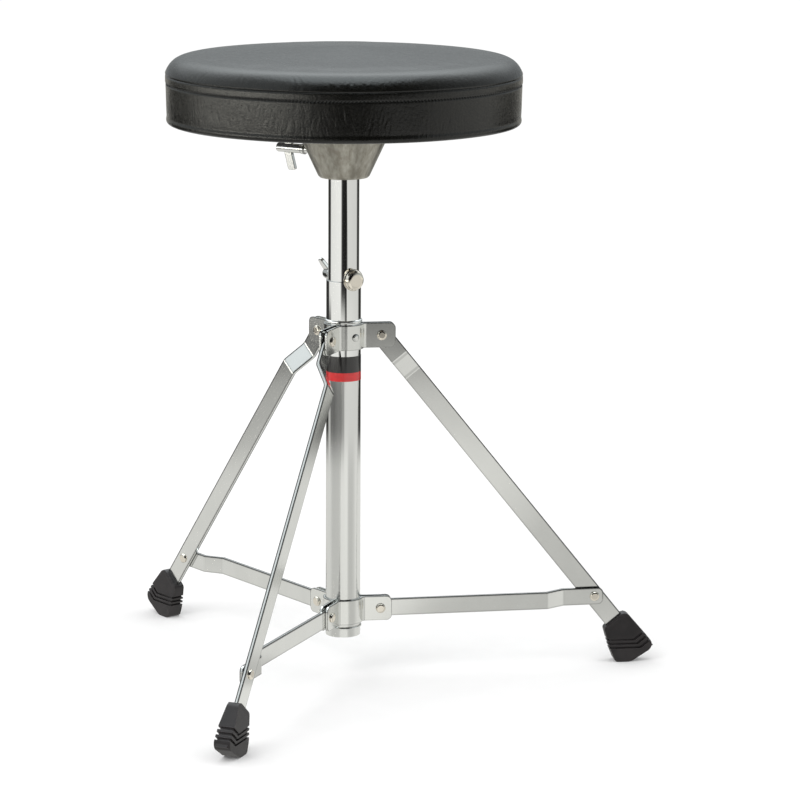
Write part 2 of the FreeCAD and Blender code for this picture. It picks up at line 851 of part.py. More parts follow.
def make_wing_nut():
    body = new_body("wing_nut")
    base = "washer_seat + washer_thickness + fit_gap"
    hub = new_sketch(body, "XZ_Plane")
    draw_outline(hub, [
        (f"-({base})", "0"),
        (f"-({base})", "nut_base_radius"),
        (f"-({base}) - nut_step", "nut_base_radius"),
        (f"-({base}) - nut_hub_length", "nut_tip_radius"),
        (f"-({base}) - nut_hub_length", "0"),
    ])
    revolve(body, hub, axis="H_Axis")
    wing = new_sketch(body, "XZ_Plane")
    draw_outline(wing, [
        (f"-({base}) - nut_wing_root", "nut_base_radius - nut_wing_sink"),
        (f"-({base}) - nut_hub_length", "nut_tip_radius - nut_wing_sink"),
        (f"-({base}) - nut_wing_length", "nut_wing_inner"),
        (f"-({base}) - nut_wing_length", "nut_wing_reach"),
        (f"-({base}) - nut_wing_shoulder", "nut_wing_reach"),
    ])
    wing_pad = pad(body, wing, "nut_wing_thickness", both_ways=True)
    mirror(body, [wing_pad], "XY_Plane")

    def wing_corner(edge):
        if not runs_along(edge, FreeCAD.Vector(0, 1, 0)):
            return False
        point = edge.Vertexes[0].Point
        return abs(point.z) > size("nut_wing_inner") - NEAR

    soften(body, "Fillet", "nut_wing_round", wing_corner)
    pocket(body, draw_circle(new_sketch(body, "YZ_Plane"), "nut_bore"), str(WIDE), both_ways=True)
    body.Placement = bolt_placement(size("nut_wing_lean"))
    return keep(body, "wing_nut")


# ---- seat hub and clamp bolt -------------------------------------------------------------

def make_seat_hub():
    """A casting: an outer cone, a socket for the post and a flange under the seat board."""
    body = new_body("seat_hub")
    flange_bottom = "board_bottom - hub_flange_thickness"
    profile = new_sketch(body, "XZ_Plane")
    draw_outline(profile, [
        ("hub_bore", "hub_bottom"),
        ("hub_bottom_radius - hub_chamfer", "hub_bottom"),
        ("hub_bottom_radius", "hub_bottom + hub_chamfer"),
        ("hub_top_radius", flange_bottom),
        ("hub_flange_radius", flange_bottom),
        ("hub_flange_radius", "board_bottom"),
        ("hub_top_radius - hub_wall", "board_bottom"),
        ("hub_socket_radius + hub_socket_wall", "hub_bottom + hub_floor"),
        ("hub_socket_radius", "hub_bottom + hub_floor"),
        ("hub_socket_radius", "board_bottom - hub_socket_drop"),
        ("hub_bore", "board_bottom - hub_socket_drop"),
    ])
    revolve(body, profile)
    screw_hole = new_sketch(body, "XY_Plane", shift={"z": "board_bottom"})
    draw_circle(screw_hole, "hub_screw_hole", "hub_screw_circle")
    drilled = pocket(body, screw_hole, "2 * hub_flange_thickness")
    repeat_round(body, [drilled], "hub_screw_count")
    threaded = draw_circle(new_sketch(body, "YZ_Plane"), "clamp_radius + fit_gap", "0", "clamp_z")
    pocket(body, threaded, "hub_flange_radius", backward=True)
    body.Placement = turned(size("clamp_turn"))
    return keep(body, "seat_hub")


def make_clamp_bolt():
    """A screw that presses on the post, with a cast handle that has two wings."""
    body = new_body("clamp_bolt")
    profile = new_sketch(body, "XZ_Plane")
    draw_outline(profile, [
        ("clamp_tip", "0"),
        ("clamp_tip", "clamp_radius - clamp_tip_chamfer"),
        ("clamp_tip + clamp_tip_chamfer", "clamp_radius"),
        ("clamp_handle_start", "clamp_radius"),
        ("clamp_handle_start", "clamp_handle_radius + clamp_collar_rise"),
        ("clamp_handle_start + clamp_collar_length", "clamp_handle_radius + clamp_collar_rise"),
        ("clamp_handle_start + clamp_collar_length + clamp_collar_rise", "clamp_handle_radius"),
        ("clamp_handle_end", "clamp_handle_radius"),
        ("clamp_handle_end", "0"),
    ])
    revolve(body, profile, axis="H_Axis")

    def handle_end(edge):
        return is_circle(edge, size("clamp_handle_radius")) and ends_at(edge, "x", size("clamp_handle_end"))

    soften(body, "Fillet", "clamp_handle_round", handle_end)
    lean = "clamp_wing_reach * tan(clamp_wing_tilt)"
    wing = new_sketch(body, "XZ_Plane")
    draw_outline(wing, [
        ("clamp_wing_centre - 0.5 * clamp_wing_width", "0.5 * clamp_handle_radius"),
        ("clamp_wing_centre + 0.5 * clamp_wing_width", "0.5 * clamp_handle_radius"),
        (f"clamp_wing_centre + 0.5 * clamp_wing_width - {lean}", "clamp_wing_reach"),
        (f"clamp_wing_centre - 0.5 * clamp_wing_width - {lean}", "clamp_wing_reach"),
    ])
    wing_pad = pad(body, wing, "clamp_wing_thickness", both_ways=True)
    mirror(body, [wing_pad], "XY_Plane")

    def wing_corner(edge):
        if not runs_along(edge, FreeCAD.Vector(0, 1, 0)):
            return False
        return abs(abs(edge.Vertexes[0].Point.z) - size("clamp_wing_reach")) < NEAR

    soften(body, "Fillet", "clamp_wing_round", wing_corner)
    upright = FreeCAD.Placement(FreeCAD.Vector(0, 0, size("clamp_z")), FreeCAD.Rotation())
    body.Placement = turned(size("clamp_turn")).multiply(upright)
    return keep(body, "clamp_bolt")


# ---- seat: board, fixings, foam and covers -----------------------------------------------

def make_hub_screws():
    body = new_body("hub_screws")
    profile = new_sketch(body, "XZ_Plane")
    seat = "board_bottom - hub_flange_thickness"
    centre = "hub_screw_circle"
    axis_line = [
        (centre, f"{seat} - screw_head_height"),
        (f"{centre} + screw_head_radius", f"{seat} - screw_head_height"),
        (f"{centre} + screw_head_radius", seat),
        (f"{centre} + screw_radius", seat),
        (f"{centre} + screw_radius", f"{seat} + screw_length"),
        (centre, f"{seat} + screw_length"),
    ]
    draw_outline(profile, axis_line)
    # the closing side of the outline lies on the screw's own axis
    axle = profile.addGeometry(Part.LineSegment(FreeCAD.Vector(10, 0, 0), FreeCAD.Vector(10, 20, 0)), True)
    add_dimension(profile, "DistanceX", axle, 1, 10, centre)
    add_dimension(profile, "DistanceX", axle, 2, 10, centre)
    add_dimension(profile, "DistanceY", axle, 1, 1, "1")
    add_dimension(profile, "DistanceY", axle, 2, 20, "20")
    screw = revolve(body, profile, axis="Axis0")
    repeat_round(body, [screw], "hub_screw_count")
    body.Placement = turned(size("clamp_turn"))
    return keep(body, "hub_screws")


def ring_pad(body, outer, inner, low, high):
    """A ring about the hub screw's axis; inner may be left out."""
    sketch = new_sketch(body, "XY_Plane", shift={"z": low})
    draw_circle(sketch, outer, "hub_screw_circle")
    if inner:
        draw_circle(sketch, inner, "hub_screw_circle")
    return pad(body, sketch, f"{high} - ({low})")


def make_tee_nuts():
    body = new_body("tee_nuts")
    top = "board_bottom + board_thickness"
    barrel = ring_pad(body, "tee_nut_radius", "tee_nut_bore", "board_bottom + tee_nut_recess", top)
    plate = ring_pad(
        body, "tee_nut_flange_radius", "tee_nut_bore", f"{top} - tee_nut_flange_thickness", top
    )
    repeat_round(body, [barrel, plate], "hub_screw_count")
    body.Placement = turned(size("clamp_turn"))
    return keep(body, "tee_nuts")


def make_seat_board():
    body = new_body("seat_board")
    top = "board_bottom + board_thickness"
    disc = draw_circle(new_sketch(body, "XY_Plane", shift={"z": "board_bottom"}), "board_radius")
    pad(body, disc, "board_thickness")

    def rim(edge):
        return is_circle(edge, size("board_radius"))

    soften(body, "Fillet", "board_round", rim)
    through = new_sketch(body, "XY_Plane", shift={"z": top})
    draw_circle(through, "tee_nut_radius + fit_gap", "hub_screw_circle")
    drilled = pocket(body, through, "board_thickness")
    recess = new_sketch(body, "XY_Plane", shift={"z": top})
    draw_circle(recess, "tee_nut_flange_radius + fit_gap", "hub_screw_circle")
    sunk = pocket(body, recess, "tee_nut_flange_thickness + fit_gap")
    repeat_round(body, [drilled, sunk], "hub_screw_count")
    body.Placement = turned(size("clamp_turn"))
    return keep(body, "seat_board")


def cushion_form(name, inset):
    """The turned shape of the padding, drawn in by inset all round."""
    body = new_body(name)
    inset_value = sum(size(word) for word in inset.split(" + ") if word in SIZES)
    inset = f"({inset})"
    profile = new_sketch(body, "XZ_Plane")
    base = f"board_bottom - cover_thickness + {inset}"
    draw_outline(profile, [
        ("0", base),
        (f"cover_base_radius - {inset}", base),
        (f"seam_radius - {inset}", "seam_z"),
        (f"shoulder_radius - 0.6 * {inset}", f"shoulder_z - 0.8 * {inset}"),
        ("0", f"crown_z - {inset}"),
    ])
    revolve(body, profile)

    def shoulder(edge):
        return is_circle(edge, size("shoulder_radius") - 0.6 * inset_value)

    def base_rim(edge):
        return is_circle(edge, size("cover_base_radius") - inset_value)

    soften(body, "Fillet", "shoulder_round", shoulder)
    soften(body, "Fillet", f"cover_base_round - {inset}", base_rim)
    body.Visibility = False
    return body


def cylinder(name, radius, bottom, top):
    solid = document.addObject("Part::Cylinder", name)
    bind(solid, "Radius", radius)
    bind(solid, "Height", f"{top} - ({bottom})")
    bind(solid, "Placement.Base.z", bottom)
    return solid


def cut(name, base, tool):
    result = document.addObject("Part::Cut", name)
    result.Base = base
    result.Tool = tool
    return result


def make_seat_cover():
    outside = cushion_form("cover_outside", "0")
    inside = cushion_form("cover_inside", "cover_thickness")
    skin = cut("cover_skin", outside, inside)
    opening = cylinder(
        "cover_opening", "cover_lip_radius", "board_bottom - 2 * cover_thickness", "board_bottom + cut_margin"
    )
    return keep(cut("seat_cover", skin, opening), "seat_cover")


def make_seat_foam():
    filling = cushion_form("foam_form", "cover_thickness + fit_gap")
    below = cylinder(
        "foam_below", "2 * seam_radius", "0", "board_bottom + board_thickness + fit_gap"
    )
    return keep(cut("seat_foam", filling, below), "seat_foam")


def make_dust_cover():
    low = "board_bottom - cover_thickness - dust_cover_thickness"
    high = "board_bottom - cover_thickness"
    disc = cylinder("dust_disc", "dust_cover_radius", low, high)
    bore = cylinder("dust_bore", "dust_cover_bore", f"{low} - cut_margin", f"{high} + cut_margin")
    return keep(cut("dust_cover", disc, bore), "dust_cover")


def make_cover_staples():
    """Wire staples through both covers into the board: one bridge and two legs each."""
    body = new_body("cover_staples")
    low = "board_bottom - cover_thickness - dust_cover_thickness - staple_wire"
    inner = "staple_circle - 0.5 * staple_wire"
    outer = "staple_circle + 0.5 * staple_wire"
    shape = new_sketch(body, "YZ_Plane", shift={"z": inner})
    rise = f"{low} + staple_wire + staple_depth"
    draw_outline(shape, [
        ("-0.5 * staple_width", low),
        ("0.5 * staple_width", low),
        ("0.5 * staple_width", rise),
        ("0.5 * staple_width - staple_wire", rise),
        ("0.5 * staple_width - staple_wire", f"{low} + staple_wire"),
        ("-0.5 * staple_width + staple_wire", f"{low} + staple_wire"),
        ("-0.5 * staple_width + staple_wire", rise),
        ("-0.5 * staple_width", rise),
    ])
    staple = pad(body, shape, f"{outer} - ({inner})")
    repeat_round(body, [staple], "staple_count")
    return keep(body, "cover_staples")


# ---- assembly ----------------------------------------------------------------------------

def make_everything():
    make_base_tube()
    make_stripe("stripe_black", "stripe_split", "stripe_top")
    make_stripe("stripe_red", "stripe_bottom", "stripe_split")
    for number in LEGS:
        make_bracket_plate(
            f"upper_bracket_plate_{number}", number,
            "upper_pivot_z", "upper_plate_height", "upper_ear_reach", True,
        )
        make_bracket_plate(
            f"lower_bracket_plate_{number}", number,
            "lower_pivot_z", "lower_plate_height", "lower_ear_reach", False,
        )
    make_set_rivets()
    make_pivot_rivets("upper_pivot_rivets", "upper_pivot_z")
    make_pivot_rivets("lower_pivot_rivets", "lower_pivot_z")
    for number in LEGS:
        make_leg(number)
        make_leg_rivet(number)
        make_foot(number)
        make_brace(number)
        make_brace_rivet(number)
    make_seat_post()
    make_height_bolt()
    make_bolt_washer()
    make_wing_nut()
    make_seat_hub()
    make_clamp_bolt()
    make_hub_screws()
    make_tee_nuts()
    make_seat_board()
    make_seat_foam()
    make_seat_cover()
    make_dust_cover()
    make_cover_staples()


def check_document():
    """Stop if any feature failed, or if any sub-part is empty or not a valid shape."""
    for thing in document.Objects:
        if "Invalid" in thing.State or "Error" in thing.State:
            raise RuntimeError("failed feature: " + thing.Name)
    for part in subparts:
        if part.Shape.isNull() or not part.Shape.isValid() or not part.Shape.Solids:
            raise RuntimeError("bad shape: " + part.Label)


make_everything()
document.recompute()
check_document()
os.makedirs("parts", exist_ok=True)
for part in subparts:
    part.Shape.exportStep("parts/" + part.Label + ".step")
print(len(subparts), "sub-parts written")
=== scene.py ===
"""The looks of the drum throne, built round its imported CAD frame. Lengths are in metres."""

import math
import random

import bmesh
import bpy
import numpy as np
from mathutils import Matrix, Vector
from mathutils.bvhtree import BVHTree


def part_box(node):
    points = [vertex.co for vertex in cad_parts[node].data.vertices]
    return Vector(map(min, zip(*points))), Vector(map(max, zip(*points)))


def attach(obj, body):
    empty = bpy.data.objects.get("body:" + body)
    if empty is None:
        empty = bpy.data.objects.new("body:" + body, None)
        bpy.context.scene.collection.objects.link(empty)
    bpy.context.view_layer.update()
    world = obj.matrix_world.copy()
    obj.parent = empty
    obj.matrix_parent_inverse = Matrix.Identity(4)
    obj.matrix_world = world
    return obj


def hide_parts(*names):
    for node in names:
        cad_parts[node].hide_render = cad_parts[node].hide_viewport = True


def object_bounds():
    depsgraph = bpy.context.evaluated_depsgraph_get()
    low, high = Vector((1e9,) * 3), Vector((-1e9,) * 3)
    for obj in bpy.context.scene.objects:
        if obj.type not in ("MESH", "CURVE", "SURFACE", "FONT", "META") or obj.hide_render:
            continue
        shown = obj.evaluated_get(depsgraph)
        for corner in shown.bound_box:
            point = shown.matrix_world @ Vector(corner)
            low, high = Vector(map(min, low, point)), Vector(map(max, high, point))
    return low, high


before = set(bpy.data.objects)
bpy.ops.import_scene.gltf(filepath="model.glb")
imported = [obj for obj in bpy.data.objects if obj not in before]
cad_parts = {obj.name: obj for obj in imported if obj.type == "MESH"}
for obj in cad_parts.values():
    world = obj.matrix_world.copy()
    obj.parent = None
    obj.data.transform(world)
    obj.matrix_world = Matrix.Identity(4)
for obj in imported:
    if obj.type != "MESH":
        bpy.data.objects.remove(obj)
cad_low, cad_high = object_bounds()
scene = bpy.context.scene

MM = 0.001
FULL_TURN = 2 * math.pi

# the camera: where it stands and how it is turned
CAMERA_PLACE = Vector((-0.3293, -2.6555, 0.7747))
CAMERA_HEADING = math.radians(81.94)
CAMERA_PITCH = math.radians(11.47)
CAMERA_ROLL = math.radians(0.33)
CAMERA_LENS = 150.3
TOWARDS_CAMERA = CAMERA_HEADING + math.pi

# the seat, measured from the CAD cover's box
cover_low, cover_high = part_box("seat_cover")
dust_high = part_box("dust_cover")[1]
SEAT_RADIUS = cover_high.x
SEAT_BASE = cover_low.z
SEAT_CROWN = cover_high.z
SEAM_HEIGHT = SEAT_BASE + 39.8 * MM
BASE_RADIUS = SEAT_RADIUS - 1.0 * MM
BASE_BEND = 5.0 * MM
SHOULDER_RADIUS = SEAT_RADIUS - 5.6 * MM
SHOULDER_HEIGHT = SEAM_HEIGHT + 13.7 * MM
SHOULDER_BEND = 12.5 * MM
LIP_RADIUS = 105.0 * MM
VINYL_THICKNESS = 1.2 * MM
EDGE_INSET = 3.2 * MM
EDGE_DROP = 0.3 * MM
SEAM_DEPTH = 2.2 * MM
SEAM_ROLL = 1.5 * MM
STITCH_DROP = 7.4 * MM
STITCH_PITCH = 2.9 * MM
STITCH_LENGTH = 2.3 * MM
THREAD_RADIUS = 0.3 * MM
GROOVE_DEPTH = 0.8 * MM
GROOVE_WIDTH = 0.75 * MM
STITCH_COUNT = round(SEAT_RADIUS * FULL_TURN / STITCH_PITCH)
STAPLE_COUNT = 16

# the padding: how much smaller it starts, how it is simulated, and how far it may swell
PADDING_INSET = 2.2 * MM
PADDING_FLATNESS = 0.965
VOXEL = 5.0 * MM
AIR_PRESSURE = 4.0
LAST_FRAME = 20
SIMULATED_LIMIT = 3.4 * MM
SWELLING_LIMIT = 1.8 * MM
PROBE_DEPTH = 15.0 * MM


# ---- turned shells -----------------------------------------------------------------------

def bend(before, point, after, reach, steps=14):
    """Points of a smooth bend that starts reach before a corner and ends reach after it."""
    before, point, after = Vector(before), Vector(point), Vector(after)
    start = point + (before - point).normalized() * reach
    end = point + (after - point).normalized() * reach
    path = []
    for step in range(steps + 1):
        share = step / steps
        path.append(start * (1 - share) ** 2 + point * 2 * share * (1 - share) + end * share ** 2)
    return path


def spaced(path, distances):
    """Points along a path at these distances from its start, and the path's outward normals.

    The distances are stretched a little, so that the last one is the path's end.
    """
    points = np.array([tuple(p) for p in path])
    run = np.concatenate([[0], np.cumsum(np.hypot(*np.diff(points, axis=0).T))])
    places = distances * run[-1] / distances[-1]
    radius = np.interp(places, run, points[:, 0])
    height = np.interp(places, run, points[:, 1])
    along_radius, along_height = np.gradient(radius, places), np.gradient(height, places)
    length = np.hypot(along_radius, along_height)
    return radius, height, -along_height / length, along_radius / length, places


def placed(name, mesh):
    """An object in the scene that shows this mesh, shaded smooth."""
    mesh.shade_smooth()
    made = bpy.data.objects.new(name, mesh)
    scene.collection.objects.link(made)
    return made


def turned_shell(name, rings, steps, closed):
    """A mesh of rings, each an array of steps (x, y, z) points. closed joins the last to the first."""
    vertices = np.concatenate(rings)
    faces = []
    rows = len(rings) if closed else len(rings) - 1
    for row in range(rows):
        first, second = row * steps, (row + 1) % len(rings) * steps
        for step in range(steps):
            after = (step + 1) % steps
            faces.append((first + step, second + step, second + after, first + after))
    if not closed:
        last = (len(rings) - 1) * steps
        faces.append(tuple(range(steps)))
        faces.append(tuple(last + step for step in reversed(range(steps))))
    mesh = bpy.data.meshes.new(name)
    mesh.from_pydata(vertices.tolist(), [], faces)
    mesh.update()
    shape = bmesh.new()
    shape.from_mesh(mesh)
    bmesh.ops.recalc_face_normals(shape, faces=shape.faces)
    shape.to_mesh(mesh)
    shape.free()
    return placed(name, mesh)


def ring_of(radius, height, angle):
    """Points at these angles round the upright axis."""
    radius = np.broadcast_to(radius, angle.shape)
    height = np.broadcast_to(height, angle.shape)
    return np.stack([radius * np.cos(angle), radius * np.sin(angle), height], axis=1)


def rings_off(path, move, rows, angle, sink=0.0):
    """A ring for each of these rows of a path, moved outward by the row's own moves less sink."""
    radius, height, out_radius, out_height, _ = path
    rings = []
    for row in rows:
        stand = move[row] - sink
        rings.append(ring_of(
            radius[row] + out_radius[row] * stand,
            height[row] + out_height[row] * stand,
            angle,
        ))
    return rings


# ---- the padded seat ---------------------------------------------------------------------

def seat_path():
    """Radius and height along the seat's skin, from its crown over the seam to the lip beneath."""
    crown = (0.0, SEAT_CROWN)
    shoulder = (SHOULDER_RADIUS, SHOULDER_HEIGHT)
    seam = (SEAT_RADIUS, SEAM_HEIGHT)
    base = (BASE_RADIUS, SEAT_BASE)
    lip = (LIP_RADIUS, SEAT_BASE)
    top = [Vector(crown)] + bend(crown, shoulder, seam, SHOULDER_BEND) + [Vector(seam)]
    side = [Vector(seam)] + bend(seam, base, lip, BASE_BEND) + [Vector(lip)]
    return top, side


def padded_form():
    """The closed turned form that the simulation starts from, a little smaller than the seat."""
    top, side = seat_path()
    rings = []
    angle = np.linspace(0, FULL_TURN, 180, endpoint=False)
    for place in (top + side[1:])[1:]:
        radius = max(place.x - PADDING_INSET, 0.5 * MM)
        height = SEAT_BASE + (place.y - SEAT_BASE) * PADDING_FLATNESS
        rings.append(ring_of(radius, height, angle))
    return turned_shell("seat_padding", rings, len(angle), closed=False)


def held_points(form):
    """Weights that hold the form at its seam, in short runs, and all over its underside."""
    held = form.vertex_groups.new(name="held")
    seam_height = SEAT_BASE + (SEAM_HEIGHT - SEAT_BASE) * PADDING_FLATNESS
    for vertex in form.data.vertices:
        place = vertex.co
        turn = math.atan2(place.y, place.x)
        in_run = math.sin(23 * turn) + 0.6 * math.sin(9 * turn + 1.3) > -0.5
        on_seam = abs(place.z - seam_height) < 3.5 * MM and place.xy.length > 0.96 * SEAT_RADIUS
        below = place.z < SEAT_BASE + 4.0 * MM
        if below or (on_seam and in_run):
            held.add([vertex.index], 1.0, "REPLACE")


def inflate(form):
    """Swells the form as air under cloth, softly capped, and applies the result."""
    remesh = form.modifiers.new("even_faces", "REMESH")
    remesh.mode = "VOXEL"
    remesh.voxel_size = VOXEL
    bpy.context.view_layer.objects.active = form
    form.select_set(True)
    bpy.ops.object.modifier_apply(modifier=remesh.name)
    held_points(form)
    rest = np.empty(len(form.data.vertices) * 3)
    form.data.vertices.foreach_get("co", rest)
    cloth = form.modifiers.new("air", "CLOTH")
    cloth.settings.use_pressure = True
    cloth.settings.uniform_pressure_force = AIR_PRESSURE
    cloth.settings.quality = 5
    cloth.settings.effector_weights.gravity = 0.0
    cloth.settings.tension_stiffness = 40.0
    cloth.settings.compression_stiffness = 20.0
    cloth.settings.bending_stiffness = 0.4
    cloth.settings.vertex_group_mass = "held"
    cloth.point_cache.frame_start = 1
    cloth.point_cache.frame_end = LAST_FRAME
    for number in range(1, LAST_FRAME + 1):
        scene.frame_set(number)
    bpy.ops.object.modifier_apply(modifier=cloth.name)
    scene.frame_set(1)
    swollen = np.empty_like(rest)
    form.data.vertices.foreach_get("co", swollen)
    move = (swollen - rest).reshape(-1, 3)
    length = np.linalg.norm(move, axis=1, keepdims=True)
    shortened = SIMULATED_LIMIT * np.tanh(length / SIMULATED_LIMIT)
    capped = move * (shortened / np.maximum(length, 1e-9))
    form.data.vertices.foreach_set("co", rest + capped.ravel())
    smooth = form.modifiers.new("finer", "SUBSURF")
    smooth.levels = 1
    bpy.ops.object.modifier_apply(modifier=smooth.name)
    form.data.update()


def swelling(form, radius, height, out_radius, out_height, angle):
    """How far the form stands outside each ring of a path, at each angle."""
    tree = BVHTree.FromObject(form, bpy.context.evaluated_depsgraph_get())
    coarse = np.linspace(0, FULL_TURN, 240, endpoint=False)
    rows = []
    for r, z, nr, nz in zip(radius, height, out_radius, out_height):
        row = []
        for turn in coarse:
            c, s = math.cos(turn), math.sin(turn)
            inside = r - nr * PROBE_DEPTH
            start = Vector((inside * c, inside * s, z - nz * PROBE_DEPTH))
            distance = tree.ray_cast(start, Vector((nr * c, nr * s, nz)), 2 * PROBE_DEPTH)[3]
            row.append(distance - PROBE_DEPTH if distance is not None else 0.0)
        rows.append(np.interp(angle, np.append(coarse, FULL_TURN), row + row[:1]))
    return SWELLING_LIMIT * np.tanh(np.array(rows) / SWELLING_LIMIT)


def creases(draw, count, angle, place, spread):
    """Sunk, slightly curved lines. spread draws one: turn, lean, from, to, width, depth."""
    depth = np.zeros((len(place), len(angle)))
    for _ in range(count):
        turn, lean, start, end, width, sink = spread(draw)
        middle, half = (start + end) / 2, (end - start) / 2
        inside = np.clip(1 - ((place - middle) / half) ** 2, 0, 1)[:, None] ** 0.8
        run = place[:, None] - middle
        centre = turn + lean * run + 2.2 * lean * np.abs(run) * run / half
        across = (angle[None, :] - centre + math.pi) % FULL_TURN - math.pi
        across = across * SEAT_RADIUS / width
        line = -np.exp(-across ** 2) + 0.55 * np.exp(-(across - 1.9) ** 2)
        depth += sink * inside * line
    return depth


def foam_lumps(angle, place):
    """Slow unevenness of the foam under the vinyl."""
    wave = 0.0
    for across, along, phase in ((5, 60, 0.4), (9, 95, 2.1), (14, 40, 4.0), (23, 130, 1.1)):
        wave = wave + np.sin(across * angle[None, :] + along * place[:, None] + phase) / across
    return wave * 0.3 * MM


def seam_roll(distance):
    """How deep the vinyl turns in at this distance from the seam."""
    share = np.clip(distance / SEAM_ROLL, 0, 1)
    return SEAM_DEPTH * (1 - np.sqrt(1 - (1 - share) ** 2))


def top_panel(form):
    """The vinyl disc on top: crowned, puckered near the seam and rolled in at its edge."""
    steps = 960
    angle = np.linspace(0, FULL_TURN, steps, endpoint=False)
    top, _ = seat_path()
    shoulder_start, edge_start = 126 * MM, 150.2 * MM
    broad = np.linspace(0.6 * MM, 125 * MM, 70)
    fine = np.linspace(shoulder_start, edge_start, 36)
    edge = edge_start + np.array([0.3, 0.55, 0.75, 0.9, 1.0, 1.08, 1.13]) * SEAM_ROLL
    path = spaced(top, np.concatenate([broad, fine, edge]))
    radius, height, out_radius, out_height, place = path
    from_seam = place[-1] - place

    def pucker(draw):
        front = draw.random() < 0.4
        turn = TOWARDS_CAMERA + draw.uniform(-1.1, 0.2) if front else draw.uniform(0, FULL_TURN)
        return (turn, draw.uniform(-3, 3), 0.8 * MM, draw.uniform(5, 17) * MM,
                draw.uniform(0.7, 1.5) * MM, draw.uniform(0.03, 0.12) * MM)

    move = creases(random.Random(41), 70, angle, from_seam, pucker)
    off_middle = np.clip(place / (90 * MM), 0, 1)[:, None]
    move += 0.25 * foam_lumps(angle, from_seam) * off_middle
    move *= np.clip(from_seam / (2 * MM), 0, 1)[:, None]
    near_edge = np.clip(place / (130 * MM), 0, 1)[:, None] ** 3
    move += swelling(form, radius, height, out_radius, out_height, angle) * 0.5 * near_edge
    move -= seam_roll(from_seam)[:, None]
    outer = rings_off(path, move, range(len(radius)), angle)
    edge_ring = ring_of(SEAT_RADIUS - EDGE_INSET, SEAM_HEIGHT + EDGE_DROP, angle)
    inner = rings_off(path, move, range(0, len(radius) - 8, 7), angle, VINYL_THICKNESS)
    return turned_shell("seat_top_panel", outer + [edge_ring] + inner[::-1], steps, closed=False)


def side_places():
    """Distances from the seam, down the skin and round under it, at which there is a ring."""
    roll = np.array([0.0, 0.04, 0.12, 0.25, 0.45, 0.7, 1.0]) * SEAM_ROLL
    allowance = np.linspace(1.8 * MM, STITCH_DROP - 1.6 * MM, 7)
    groove = STITCH_DROP + np.linspace(-1.4, 1.4, 13) * MM
    wall = np.linspace(STITCH_DROP + 2.2 * MM, 46 * MM, 52)
    under = np.linspace(47.2 * MM, 72.6 * MM, 16)
    return np.concatenate([roll, allowance, groove, wall, under])


def side_moves(form, path, angle):
    """How far each point of the side panel stands off its path."""
    radius, height, out_radius, out_height, place = path

    def wrinkle(draw):
        front = draw.random() < 0.62
        turn = TOWARDS_CAMERA + draw.uniform(-1.25, 0.3) if front else draw.uniform(0, FULL_TURN)
        start = draw.uniform(8, 26) * MM
        return (turn, draw.uniform(-1.4, 1.4), start, start + draw.uniform(5, 17) * MM,
                draw.uniform(0.5, 1.0) * MM, draw.uniform(0.02, 0.09) * MM)

    def pleat(draw):
        return (draw.uniform(0, FULL_TURN), draw.uniform(-3, 3), 42 * MM, 80 * MM,
                draw.uniform(1.5, 3.0) * MM, draw.uniform(0.1, 0.3) * MM)

    move = creases(random.Random(7), 320, angle, place, wrinkle)
    move += creases(random.Random(19), 64, angle, place, pleat)
    move += foam_lumps(angle, place) * 0.5
    move *= np.clip((place - 1.0 * MM) / (3 * MM), 0, 1)[:, None]
    swell = swelling(form, radius, height, out_radius, out_height, angle)
    upright = np.clip((height - SEAT_BASE) / (6 * MM), 0, 1)[:, None]
    move += swell * 0.9 * upright
    proud = 0.3 * MM * np.clip((STITCH_DROP - place) / MM, 0, 1) * np.clip(place / (2 * MM), 0, 1)
    groove = GROOVE_DEPTH * np.exp(-((place - STITCH_DROP) / GROOVE_WIDTH) ** 2)
    tension = 0.62 + 0.38 * np.cos(angle * STITCH_COUNT)
    move += proud[:, None] - groove[:, None] * tension[None, :]
    return move - seam_roll(place)[:, None]


def side_panel(form):
    """The vinyl band round the side, tucked under to its lip, and the stitched line on it."""
    steps = 1920
    angle = np.linspace(0, FULL_TURN, steps, endpoint=False)
    _, side = seat_path()
    path = spaced(side, side_places())
    radius, height, out_radius, out_height, place = path
    move = side_moves(form, path, angle)
    outer = rings_off(path, move, range(len(radius)), angle)
    inner = []
    for row in range(10, len(radius), 8):
        inner.append(ring_of(
            radius[row] - out_radius[row] * VINYL_THICKNESS + np.minimum(move[row], 0) * out_radius[row],
            height[row] - out_height[row] * VINYL_THICKNESS,
            angle,
        ))
    inner.insert(0, ring_of(SEAT_RADIUS - EDGE_INSET, SEAM_HEIGHT - EDGE_DROP, angle))
    inner.append(ring_of(LIP_RADIUS, SEAT_BASE + VINYL_THICKNESS, angle))
    shell = turned_shell("seat_side_panel", outer + inner[::-1], steps, closed=True)
    row = int(np.argmin(np.abs(place - STITCH_DROP)))
    stitch_radius = radius[row] + move[row] * out_radius[row]
    return shell, angle, stitch_radius, height[row]


